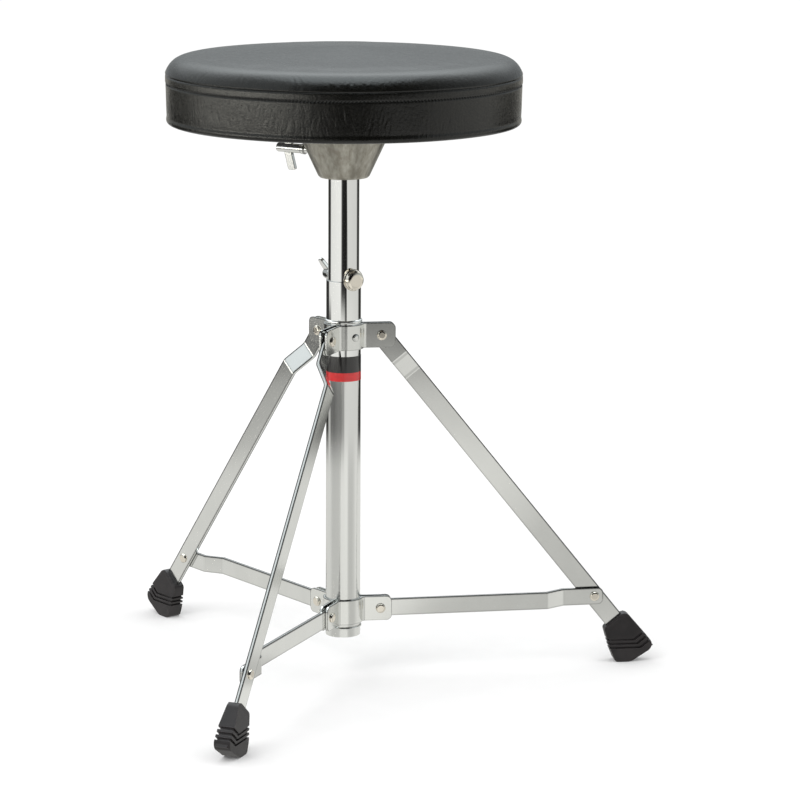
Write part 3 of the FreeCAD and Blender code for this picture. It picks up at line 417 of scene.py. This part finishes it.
def topstitch(angle, stitch_radius, height):
    """One short, slightly slanted loop of thread per stitch, lying in the groove."""
    sides, spans = 8, 7
    vertices, faces = [], []
    for stitch in range(STITCH_COUNT):
        turn = FULL_TURN * stitch / STITCH_COUNT
        out = Vector((math.cos(turn), math.sin(turn), 0))
        along = Vector((-math.sin(turn), math.cos(turn), 0.09)).normalized()
        up = out.cross(along)
        here = np.interp(turn, angle, stitch_radius)
        middle = out * (here + 0.6 * THREAD_RADIUS) + Vector((0, 0, height))
        first = len(vertices)
        for span in range(spans + 1):
            share = span / spans * 2 - 1
            thick = THREAD_RADIUS * math.sqrt(max(1 - share ** 4, 0.02))
            dip = out * (-0.5 * MM * share ** 4)
            for side in range(sides):
                round_turn = FULL_TURN * side / sides
                ring = out * math.cos(round_turn) + up * math.sin(round_turn)
                vertices.append(middle + along * share * STITCH_LENGTH / 2 + dip + ring * thick)
        for span in range(spans):
            for side in range(sides):
                a = first + span * sides + side
                b = first + span * sides + (side + 1) % sides
                faces.append((a, b, b + sides, a + sides))
        faces.append(tuple(first + side for side in reversed(range(sides))))
        faces.append(tuple(first + spans * sides + side for side in range(sides)))
    mesh = bpy.data.meshes.new("seat_topstitch")
    mesh.from_pydata([tuple(v) for v in vertices], [], faces)
    return placed("seat_topstitch", mesh)


def dust_cloth():
    """The thin cloth under the seat, sagging a little between its staples."""
    steps = 480
    angle = np.linspace(0, FULL_TURN, steps, endpoint=False)
    inner_radius = 56.0 * MM
    outer_radius = dust_high.x
    thickness = 0.4 * MM
    lower, upper = [], []
    for share in np.linspace(0, 1, 26):
        radius = inner_radius + (outer_radius - inner_radius) * share
        fray = 0.5 * MM * np.sin(angle * 37) * np.sin(angle * 11) * (share > 0.97)
        between = 0.5 - 0.5 * np.cos(angle * STAPLE_COUNT)
        sag = 0.9 * MM * math.sin(math.pi * min(share / 0.9, 1.0)) * (0.35 + 0.65 * between)
        ripple = 0.12 * MM * np.sin(angle * 48 + 9 * share) * share
        height = dust_high.z - 0.05 * MM - thickness - sag - np.maximum(ripple, 0)
        lower.append(ring_of(radius + fray, height, angle))
        upper.append(ring_of(radius + fray, height + thickness, angle))
    return turned_shell("seat_dust_cloth", lower + upper[::-1], steps, closed=True)


# ---- node helpers ------------------------------------------------------------------------

class Nodes:
    """Adds nodes to one tree: each call returns the node's first output, or the one asked for."""

    def __init__(self, tree):
        self.tree = tree

    def add(self, kind, values=None, out=0, **settings):
        node = self.tree.nodes.new(kind)
        for name, value in settings.items():
            setattr(node, name, value)
        for name, value in (values or {}).items():
            if isinstance(value, bpy.types.NodeSocket):
                self.tree.links.new(value, node.inputs[name])
            else:
                node.inputs[name].default_value = value
        return node.outputs[out]

    def math(self, operation, first, second=0.0, third=0.0):
        return self.add("ShaderNodeMath", {0: first, 1: second, 2: third}, operation=operation)

    def ramp(self, value, stops):
        colour = self.add("ShaderNodeValToRGB", {0: value})
        ramp = colour.node.color_ramp
        while len(ramp.elements) < len(stops):
            ramp.elements.new(0.5)
        for element, (place, shade) in zip(ramp.elements, stops):
            element.position = place
            element.color = shade if len(shade) == 4 else (*shade, 1.0)
        return colour

    def spread(self, value, low, high, to_low, to_high):
        return self.add(
            "ShaderNodeMapRange",
            {"Value": value, "From Min": low, "From Max": high, "To Min": to_low, "To Max": to_high},
        )

    def noise(self, vector, scale, detail=3.0, roughness=0.55):
        return self.add(
            "ShaderNodeTexNoise",
            {"Vector": vector, "Scale": scale, "Detail": detail, "Roughness": roughness},
        )

    def mix(self, share, first, second):
        return self.add("ShaderNodeMix", {0: share, 6: first, 7: second}, out=2, data_type="RGBA")


def grey(value):
    return (value, value, value, 1.0)


def new_material(name):
    """An empty node material: its helper, its shader node and its object coordinates."""
    material = bpy.data.materials.new(name)
    material.use_nodes = True
    nodes = Nodes(material.node_tree)
    shader = material.node_tree.nodes["Principled BSDF"]
    place = nodes.add("ShaderNodeTexCoord", out="Object")
    return material, nodes, shader, place


def stretched(nodes, place, scale):
    return nodes.add("ShaderNodeMapping", {"Vector": place, "Scale": scale})


def set_bump(nodes, shader, height, distance, strength=1.0, normal=None):
    values = {"Height": height, "Distance": distance, "Strength": strength}
    if normal is not None:
        values["Normal"] = normal
    bump = nodes.add("ShaderNodeBump", values)
    nodes.tree.links.new(bump, shader.inputs["Normal"])


def plug(nodes, shader, **values):
    for name, value in values.items():
        socket = shader.inputs[name.replace("_", " ")]
        if isinstance(value, bpy.types.NodeSocket):
            nodes.tree.links.new(value, socket)
        else:
            socket.default_value = value


def edge_mask(nodes, radius, reach=None):
    """How near a sharp corner is, 1 at it and 0 beyond reach, and the normal rounded over radius.

    The lower edge of an upright face counts for less, so that painted corner light, and on some finishes
    wear, sits mostly on upper edges.
    """
    rounded = nodes.add("ShaderNodeBevel", {"Radius": radius}, samples=4)
    wide = nodes.add("ShaderNodeBevel", {"Radius": reach or 2 * radius}, samples=8)
    true = nodes.add("ShaderNodeNewGeometry", out="Normal")
    same = nodes.add(
        "ShaderNodeVectorMath", {0: wide, 1: true}, out="Value", operation="DOT_PRODUCT"
    )
    turned = nodes.add("ShaderNodeVectorMath", {0: wide, 1: true}, operation="SUBTRACT")
    turned_up = nodes.add("ShaderNodeSeparateXYZ", {0: turned}, out="Z")
    faces_up = nodes.add("ShaderNodeSeparateXYZ", {0: true}, out="Z")
    upper_edge = nodes.spread(turned_up, -0.05, 0.05, 0.3, 1.0)
    upper_face = nodes.spread(faces_up, 0.1, 0.3, 0.0, 1.0)
    share = nodes.math("MAXIMUM", upper_edge, upper_face)
    return nodes.math("MULTIPLY", nodes.spread(same, 0.998, 0.95, 0.0, 1.0), share), rounded


# ---- metals ------------------------------------------------------------------------------

def metal(name, colour, roughness, scratches, dullness=0.05, corner=1.06, reach=0.6 * MM):
    """Plated metal: slightly cloudy, finely scratched, and tinted along its corners, mostly upper ones:
    a painted dark reflection line when corner is below 1, a paler edge when above.
    """
    material, nodes, shader, place = new_material(name)
    cloud = nodes.noise(place, 38.0, 4.0)
    fine = nodes.noise(place, 900.0, 2.0)
    lines = nodes.noise(stretched(nodes, place, (1.0, 1.0, 0.06)), 1500.0, 2.0)
    corner_light_and_wear, rounded = edge_mask(nodes, 0.35 * MM, reach)
    dull = tuple(c * (1 - dullness) for c in colour)
    turned = tuple(min(c * corner, 1.0) for c in colour)
    body = nodes.mix(nodes.spread(cloud, 0.35, 0.7, 0.0, 1.0), (*dull, 1.0), (*colour, 1.0))
    # corners, mostly upper ones, take the corner colour: below 1 a painted dark reflection line, above 1
    # a paler edge
    shade = nodes.mix(nodes.math("MULTIPLY", corner_light_and_wear, 0.95), body, (*turned, 1.0))
    rough = nodes.spread(cloud, 0.3, 0.75, roughness * 0.92, roughness * 1.08)
    rough = nodes.math("MULTIPLY_ADD", fine, roughness * 0.2, rough)
    plug(nodes, shader, Base_Color=shade, Metallic=1.0, Roughness=rough)
    set_bump(nodes, shader, lines, scratches, normal=rounded)
    return material


def cast_metal():
    """Dull die-cast metal, streaked from bottom to top, and paler at its corners, mostly upper ones,
    from wear and a painted highlight.
    """
    material, nodes, shader, place = new_material("hub_casting")
    streak = nodes.noise(stretched(nodes, place, (1.0, 1.0, 0.04)), 260.0, 3.0, 0.6)
    cloud = nodes.noise(place, 46.0, 5.0)
    grit = nodes.noise(place, 1500.0, 3.0)
    corner_light_and_wear, rounded = edge_mask(nodes, 0.25 * MM)
    share = nodes.math("MULTIPLY_ADD", cloud, 0.16, nodes.math("MULTIPLY", streak, 0.9))
    dark, middle, pale = (0.28, 0.262, 0.222), (0.37, 0.352, 0.305), (0.47, 0.455, 0.405)
    wear_and_highlight = (0.70, 0.69, 0.65, 1.0)
    shade = nodes.ramp(share, ((0.40, dark), (0.54, middle), (0.68, pale)))
    # paler corners, mostly upper ones: wear and a painted highlight
    shade = nodes.mix(nodes.math("MULTIPLY", corner_light_and_wear, 0.7), shade, wear_and_highlight)
    rough = nodes.spread(streak, 0.3, 0.7, 0.30, 0.42)
    plug(nodes, shader, Base_Color=shade, Metallic=1.0, Roughness=rough)
    height = nodes.math("MULTIPLY_ADD", streak, 1.5, grit)
    set_bump(nodes, shader, height, 0.035 * MM, normal=rounded)
    return material


def chrome_tube():
    """Bright chrome that turns greyer and rougher low on the tube."""
    material, nodes, shader, place = new_material("tube_chrome")
    height = nodes.add("ShaderNodeSeparateXYZ", {0: place}, out="Z")
    low = nodes.spread(height, 0.06, 0.26, 1.0, 0.0)
    cloud = nodes.noise(stretched(nodes, place, (1.0, 1.0, 0.25)), 60.0, 4.0)
    fine = nodes.noise(stretched(nodes, place, (1.0, 1.0, 0.02)), 1300.0, 2.0)
    bright, soft = (0.93, 0.935, 0.925, 1.0), (0.84, 0.845, 0.825, 1.0)
    shade = nodes.mix(low, bright, soft)
    shade = nodes.mix(nodes.spread(cloud, 0.4, 0.8, 0.0, 0.12), shade, grey(0.7))
    rough = nodes.math("MULTIPLY_ADD", low, 0.13, 0.035)
    rough = nodes.math("MULTIPLY_ADD", cloud, 0.03, rough)
    plug(nodes, shader, Base_Color=shade, Metallic=1.0, Roughness=rough)
    set_bump(nodes, shader, fine, 0.004 * MM, 0.6)
    return material


def painted_stripe(name, colour):
    """Printed band under clear lacquer."""
    material, nodes, shader, place = new_material(name)
    cloud = nodes.noise(place, 220.0, 3.0)
    deep = tuple(c * 0.8 for c in colour)
    shade = nodes.mix(nodes.spread(cloud, 0.35, 0.7, 0.0, 1.0), (*deep, 1.0), (*colour, 1.0))
    plug(nodes, shader, Base_Color=shade, Roughness=0.3, Coat_Weight=1.0, Coat_Roughness=0.03)
    set_bump(nodes, shader, nodes.noise(place, 420.0, 2.0), 0.01 * MM)
    return material


# ---- other finishes ----------------------------------------------------------------------

def vinyl():
    """Black leatherette: grain cells, darker in their pits as painted shade and paler on their tops as a
    painted sheen, fine pores, thin upright puckers, and high spots paler from wear and a painted sheen.
    """
    material, nodes, shader, place = new_material("vinyl")
    warp = nodes.noise(place, 320.0, 2.0)
    bent = nodes.add(
        "ShaderNodeVectorMath",
        {0: place, 1: nodes.add("ShaderNodeVectorMath", {0: warp, "Scale": 0.0011}, operation="SCALE")},
        operation="ADD",
    )
    cells = nodes.add(
        "ShaderNodeTexVoronoi", {"Vector": bent, "Scale": 760.0}, feature="DISTANCE_TO_EDGE"
    )
    grain = nodes.spread(cells, 0.0, 0.22, 0.0, 1.0)
    broad = nodes.noise(place, 95.0, 5.0, 0.65)
    pores = nodes.noise(place, 2600.0, 2.0)
    upright = nodes.noise(stretched(nodes, place, (1.0, 1.0, 0.16)), 330.0, 4.0, 0.6)
    patches = nodes.spread(nodes.noise(place, 26.0, 2.0), 0.42, 0.62, 0.15, 1.0)
    facing = nodes.add("ShaderNodeNewGeometry", out="Normal")
    up = nodes.add("ShaderNodeSeparateXYZ", {0: facing}, out="Z")
    sideways = nodes.spread(nodes.math("ABSOLUTE", up), 0.25, 0.7, 1.0, 0.0)
    puckers = nodes.math("MULTIPLY", upright, nodes.math("MULTIPLY", patches, sideways))
    pit, pebble = (0.0018, 0.0017, 0.0013, 1.0), (0.0044, 0.0042, 0.0032, 1.0)
    wear_and_highlight = (0.0070, 0.0067, 0.0052, 1.0)
    # grain: painted shade in the pits between cells, painted sheen on the cells' tops
    shade = nodes.mix(grain, pit, pebble)
    # broad high spots made paler: wear and a painted sheen
    shade = nodes.mix(nodes.spread(broad, 0.5, 0.8, 0.0, 0.5), shade, wear_and_highlight)
    rough = nodes.spread(grain, 0.0, 1.0, 0.25, 0.18)
    rough = nodes.math("MULTIPLY_ADD", broad, 0.06, rough)
    plug(nodes, shader, Base_Color=shade, Roughness=rough, IOR=1.48)
    folded = nodes.add("ShaderNodeBump", {"Height": puckers, "Distance": 0.4 * MM})
    pebbles = nodes.noise(place, 420.0, 2.0)
    height = nodes.math("MULTIPLY_ADD", broad, 2.0, nodes.math("MULTIPLY", grain, 0.5))
    height = nodes.math("MULTIPLY_ADD", pebbles, 3.4, height)
    height = nodes.math("MULTIPLY_ADD", pores, 0.2, height)
    set_bump(nodes, shader, height, 0.045 * MM, 0.9, folded)
    return material


def thread():
    """Twisted black thread."""
    material, nodes, shader, place = new_material("stitch_thread")
    twist = nodes.add(
        "ShaderNodeTexWave", {"Vector": place, "Scale": 900.0, "Distortion": 2.0},
        bands_direction="DIAGONAL",
    )
    shade = nodes.mix(twist, grey(0.001), grey(0.004))
    plug(nodes, shader, Base_Color=shade, Roughness=0.6)
    set_bump(nodes, shader, twist, 0.05 * MM)
    return material


def rubber():
    """Black rubber with a brown cast, dusty in places and finely pitted."""
    material, nodes, shader, place = new_material("foot_rubber")
    cloud = nodes.noise(place, 70.0, 5.0)
    pits = nodes.noise(place, 1400.0, 3.0)
    corner_light_and_wear, rounded = edge_mask(nodes, 0.5 * MM)
    clean, dusty = (0.0105, 0.0082, 0.0088, 1.0), (0.021, 0.0165, 0.0172, 1.0)
    wear_and_highlight = (0.045, 0.038, 0.038, 1.0)
    shade = nodes.mix(nodes.spread(cloud, 0.4, 0.75, 0.0, 1.0), clean, dusty)
    # paler corners, mostly upper ones: wear and a painted highlight
    shade = nodes.mix(nodes.math("MULTIPLY", corner_light_and_wear, 0.5), shade, wear_and_highlight)
    rough = nodes.spread(pits, 0.3, 0.7, 0.42, 0.6)
    plug(nodes, shader, Base_Color=shade, Roughness=rough)
    set_bump(nodes, shader, pits, 0.05 * MM, 0.7, rounded)
    return material


def plywood():
    """Birch face with long grain."""
    material, nodes, shader, place = new_material("plywood")
    grain = nodes.noise(stretched(nodes, place, (1.0, 0.08, 1.0)), 160.0, 6.0, 0.7)
    layers = nodes.add(
        "ShaderNodeTexWave", {"Vector": place, "Scale": 105.0, "Distortion": 0.4},
        bands_direction="Z",
    )
    brown, pale, glue = (0.52, 0.34, 0.18, 1.0), (0.72, 0.53, 0.32, 1.0), (0.35, 0.2, 0.1, 1.0)
    shade = nodes.mix(nodes.spread(grain, 0.3, 0.75, 0.0, 1.0), brown, pale)
    shade = nodes.mix(nodes.math("MULTIPLY", layers, 0.3), shade, glue)
    plug(nodes, shader, Base_Color=shade, Roughness=0.6)
    set_bump(nodes, shader, grain, 0.08 * MM)
    return material


def pressed_cloth():
    """Black non-woven cloth, pressed in a regular pattern of small cells, with loose fibres."""
    material, nodes, shader, place = new_material("dust_cloth")
    fibres = nodes.noise(place, 1700.0, 4.0, 0.7)
    press = nodes.add(
        "ShaderNodeTexVoronoi", {"Vector": place, "Scale": 620.0, "Randomness": 0.12}
    )
    shade = nodes.mix(fibres, grey(0.01), grey(0.05))
    plug(nodes, shader, Base_Color=shade, Roughness=0.92)
    height = nodes.math("MULTIPLY_ADD", press, 1.2, fibres)
    set_bump(nodes, shader, height, 0.12 * MM)
    return material


# ---- finishes on pieces ------------------------------------------------------------------

def finish_frame():
    """Gives each CAD node that shows its material, by the start or end of its name."""
    # bars, plates, rivets and bright fasteners get a painted dark reflection line along their sharp
    # edges; zinc keeps the slightly paler default edge
    bars = metal("bar_steel", (0.86, 0.865, 0.845), 0.13, 0.004 * MM, corner=0.03, reach=2.4 * MM)
    plates = metal("bracket_steel", (0.88, 0.885, 0.86), 0.15, 0.004 * MM, corner=0.12, reach=1.4 * MM)
    nickel = metal("rivet_nickel", (0.90, 0.84, 0.74), 0.16, 0.008 * MM, corner=0.35, reach=0.8 * MM)
    zinc = metal("fastener_zinc", (0.62, 0.63, 0.64), 0.3, 0.02 * MM, dullness=0.15)
    bright = metal("fastener_chrome", (0.84, 0.84, 0.82), 0.06, 0.0008 * MM, corner=0.1, reach=1.2 * MM)
    finishes = {
        "base_tube": chrome_tube(),
        "stripe_black": painted_stripe("stripe_black", (0.007, 0.0055, 0.0055)),
        "stripe_red": painted_stripe("stripe_red", (0.56, 0.008, 0.010)),
        "upper_bracket": plates,
        "lower_bracket": plates,
        "bracket_set": plates,
        "upper_pivot": nickel,
        "lower_pivot": nickel,
        "leg": bars,
        "brace": bars,
        "foot": rubber(),
        "height_bolt": nickel,
        "bolt_washer": zinc,
        "wing_nut": bright,
        "seat_hub": cast_metal(),
        "clamp_bolt": bright,
        "hub_screws": zinc,
        "tee_nuts": zinc,
        "seat_board": plywood(),
        "cover_staples": zinc,
    }
    finishes["seat_post"] = finishes["base_tube"]
    for name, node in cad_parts.items():
        wanted = nickel if name.endswith("_rivet") else None
        for start, material in finishes.items():
            if wanted is None and name.startswith(start):
                wanted = material
        if wanted is None:
            continue
        node.data.materials.clear()
        node.data.materials.append(wanted)


def build_seat():
    """The soft parts of the seat, in place of their CAD solids."""
    form = padded_form()
    inflate(form)
    top = top_panel(form)
    side, angle, stitch_radius, stitch_height = side_panel(form)
    stitches = topstitch(angle, stitch_radius, stitch_height)
    bpy.data.objects.remove(form)
    cloth = dust_cloth()
    skin = vinyl()
    for piece, finish in ((top, skin), (side, skin), (stitches, thread()), (cloth, pressed_cloth())):
        piece.data.materials.append(finish)
        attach(piece, "seat")
    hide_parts("seat_cover", "seat_foam")
    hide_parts("seat_cover")
    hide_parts("dust_cover")


# ---- studio ------------------------------------------------------------------------------

# what shiny parts see, by degrees round from the camera's side, counted to the picture's right
NEAR_BANDS = (
    (-180, 0.72), (-95, 0.72), (-70, 0.56), (-26, 0.58), (-14, 0.82), (26, 0.86), (38, 0.56),
    (66, 0.56), (90, 0.76), (180, 0.76),
)
MIDDLE_BANDS = (
    (-180, 0.6), (-158, 0.5), (-148, 0.03), (-118, 0.03), (-110, 0.5), (-97, 0.5), (-90, 0.15),
    (-60, 0.13), (-30, 0.2), (-12, 0.16), (-6, 0.30), (5, 0.32), (10, 0.68), (108, 0.66),
    (120, 0.03), (150, 0.03), (162, 0.6), (180, 0.6),
)
EAR_BANDS = (
    (-180, 0.7), (-158, 0.6), (-148, 0.03), (-94, 0.04), (-84, 0.85), (-20, 0.85), (7, 0.74),
    (11, 0.16), (21, 0.16), (24, 0.78), (108, 0.66), (120, 0.03), (150, 0.03),
    (162, 0.7), (180, 0.7),
)
FAR_BANDS = (
    (-180, 0.7), (-158, 0.6), (-148, 0.03), (-113, 0.03), (-105, 0.80), (-20, 0.88), (-13, 0.12),
    (-8, 0.02), (19, 0.012), (25, 0.78), (31, 0.69), (108, 0.66), (120, 0.03), (150, 0.03),
    (162, 0.7), (180, 0.7),
)
SEAT_BANDS = (
    (-180, 0.7), (-160, 0.6), (-138, 0.12), (-112, 1.0), (-92, 4.0), (-64, 8.0), (-40, 6.4),
    (-14, 0.04), (46, 0.0), (76, 1.25), (108, 1.2), (138, 0.3), (160, 0.6), (180, 0.7),
)
PALE = (1.0, 1.0, 0.965)
WARM = (1.0, 0.975, 0.87)
# where one set of floor bands gives way to the next, in metres from the object
FLOOR_ZONES = (
    (0.80, 0.98, MIDDLE_BANDS, PALE),
    (1.30, 1.42, EAR_BANDS, PALE),
    (1.65, 1.90, FAR_BANDS, PALE),
    (3.90, 4.10, SEAT_BANDS, WARM),
)
# the sky's bands, from the horizon up
LOW_SKY = (
    (-180, 0.43), (-145, 0.43), (-110, 0.5), (-64, 0.7), (-40, 0.6), (-16, 0.0), (42, 0.0),
    (70, 0.7), (120, 0.5), (145, 0.43), (180, 0.43),
)
HIGH_SKY = (
    (-180, 1.1), (-150, 1.1), (-110, 0.9), (-45, 0.9), (-22, 0.02), (45, 0.0), (85, 0.3),
    (120, 0.6), (150, 1.0), (180, 1.1),
)
TOP_SKY = (
    (-180, 3.4), (-150, 3.2), (-110, 1.6), (-80, 0.9), (-45, 0.9), (-22, 0.02), (45, 0.0),
    (85, 0.4), (120, 1.6), (150, 3.0), (180, 3.4),
)
OVERHEAD = (3.1, 3.4, 3.5, 1.0)
SKY_TINT = (0.92, 0.98, 1.0)
# where each kind of sky gives way to the next, as the upward part of a direction
LOW_TO_HIGH = (0.25, 0.31)
HIGH_TO_TOP = (0.45, 0.75)
TOP_TO_OVERHEAD = (0.87, 0.95)
SKY_BRIGHTNESS = 1.12

FLOOR_RADIUS = 14.0
FLOOR_GAP = 0.02 * MM
KEY_PLACE = (-1.4, -1.2, 1.8)
KEY_SIZE = 1.2
KEY_POWER = 14.0


def bands(nodes, vector, stops, tint):
    """Tinted brightness by direction round the upright axis, measured from the camera's side."""
    turned = nodes.add(
        "ShaderNodeVectorRotate", {"Vector": vector, "Angle": -TOWARDS_CAMERA},
        rotation_type="Z_AXIS",
    )
    towards = nodes.add("ShaderNodeSeparateXYZ", {0: turned}, out="X")
    across = nodes.add("ShaderNodeSeparateXYZ", {0: turned}, out="Y")
    turn = nodes.math("ARCTAN2", across, towards)
    share = nodes.math("MULTIPLY_ADD", turn, 1 / FULL_TURN, 0.5)
    marks = [(degrees / 360 + 0.5, tuple(value * c for c in tint)) for degrees, value in stops]
    return nodes.ramp(share, marks)


def make_world():
    """White all round for sight and soft light; shiny parts see broad panels and dark gaps."""
    world = bpy.data.worlds.new("studio")
    scene.world = world
    world.use_nodes = True
    world.node_tree.nodes.clear()
    nodes = Nodes(world.node_tree)
    direction = nodes.add("ShaderNodeTexCoord", out="Generated")
    rise = nodes.add("ShaderNodeSeparateXYZ", {0: direction}, out="Z")
    low = bands(nodes, direction, LOW_SKY, SKY_TINT)
    high = bands(nodes, direction, HIGH_SKY, SKY_TINT)
    top = bands(nodes, direction, TOP_SKY, SKY_TINT)
    panels = nodes.mix(nodes.spread(rise, *LOW_TO_HIGH, 0.0, 1.0), low, high)
    panels = nodes.mix(nodes.spread(rise, *HIGH_TO_TOP, 0.0, 1.0), panels, top)
    seen = nodes.mix(nodes.spread(rise, *TOP_TO_OVERHEAD, 0.0, 1.0), panels, OVERHEAD)
    glossy = nodes.add("ShaderNodeLightPath", out="Is Glossy Ray")
    plain = nodes.add("ShaderNodeBackground", {"Color": grey(1.0), "Strength": SKY_BRIGHTNESS})
    shiny = nodes.add("ShaderNodeBackground", {"Color": seen, "Strength": 1.0})
    mixed = nodes.add("ShaderNodeMixShader", {0: glossy, 1: plain, 2: shiny})
    output = world.node_tree.nodes.new("ShaderNodeOutputWorld")
    world.node_tree.links.new(mixed, output.inputs["Surface"])
    world.cycles.sampling_method = "NONE"


def floor_material():
    """Pale matt floor; shiny parts see it bright close by and in panels farther off."""
    material = bpy.data.materials.new("studio_floor")
    material.use_nodes = True
    material.node_tree.nodes.clear()
    nodes = Nodes(material.node_tree)
    place = nodes.add("ShaderNodeNewGeometry", out="Position")
    flat = nodes.add("ShaderNodeVectorMath", {0: place, 1: (1, 1, 0)}, operation="MULTIPLY")
    away = nodes.add("ShaderNodeVectorMath", {0: flat}, out="Value", operation="LENGTH")
    seen = bands(nodes, place, NEAR_BANDS, PALE)
    for start, end, stops, tint in FLOOR_ZONES:
        share = nodes.spread(away, start, end, 0.0, 1.0)
        seen = nodes.mix(share, seen, bands(nodes, place, stops, tint))
    glossy = nodes.add("ShaderNodeLightPath", out="Is Glossy Ray")
    speckle = nodes.noise(place, 40.0, 3.0)
    pale = nodes.mix(speckle, grey(0.90), grey(0.93))
    matt = nodes.add("ShaderNodeBsdfDiffuse", {"Color": pale})
    # for reflected rays alone the floor glows in bands: painted reflection panels, not a lamp
    shiny = nodes.add("ShaderNodeEmission", {"Color": seen, "Strength": 1.0})
    mixed = nodes.add("ShaderNodeMixShader", {0: glossy, 1: matt, 2: shiny})
    output = material.node_tree.nodes.new("ShaderNodeOutputMaterial")
    material.node_tree.links.new(mixed, output.inputs["Surface"])
    material.cycles.emission_sampling = "NONE"
    return material


def make_floor():
    mesh = bpy.data.meshes.new("floor")
    rim = ring_of(FLOOR_RADIUS, 0.0, np.linspace(0, FULL_TURN, 96)[:-1])
    mesh.from_pydata(rim.tolist(), [], [tuple(range(len(rim)))])
    floor = bpy.data.objects.new("floor", mesh)
    scene.collection.objects.link(floor)
    floor.location.z = cad_low.z - FLOOR_GAP
    mesh.materials.append(floor_material())


def make_light():
    """A soft square light aimed at the middle of the object, unseen in reflections."""
    lamp = bpy.data.lights.new("key", "AREA")
    lamp.size = KEY_SIZE
    lamp.energy = KEY_POWER
    light = bpy.data.objects.new("key", lamp)
    scene.collection.objects.link(light)
    light.location = KEY_PLACE
    aim = (cad_low + cad_high) / 2 - Vector(KEY_PLACE)
    light.rotation_euler = aim.to_track_quat("-Z", "Y").to_euler()
    light.visible_glossy = False
    light.visible_camera = False


def make_camera():
    lens = bpy.data.cameras.new("camera")
    lens.lens = CAMERA_LENS
    lens.clip_end = 60.0
    camera = bpy.data.objects.new("camera", lens)
    scene.collection.objects.link(camera)
    turn = Matrix.Rotation(CAMERA_HEADING - math.pi / 2, 4, "Z")
    tilt = Matrix.Rotation(math.pi / 2 - CAMERA_PITCH, 4, "X")
    roll = Matrix.Rotation(CAMERA_ROLL, 4, "Z")
    camera.matrix_world = Matrix.Translation(CAMERA_PLACE) @ turn @ tilt @ roll
    scene.camera = camera


build_seat()
finish_frame()
make_world()
make_floor()
make_light()
make_camera()
scene.view_settings.view_transform = "Standard"
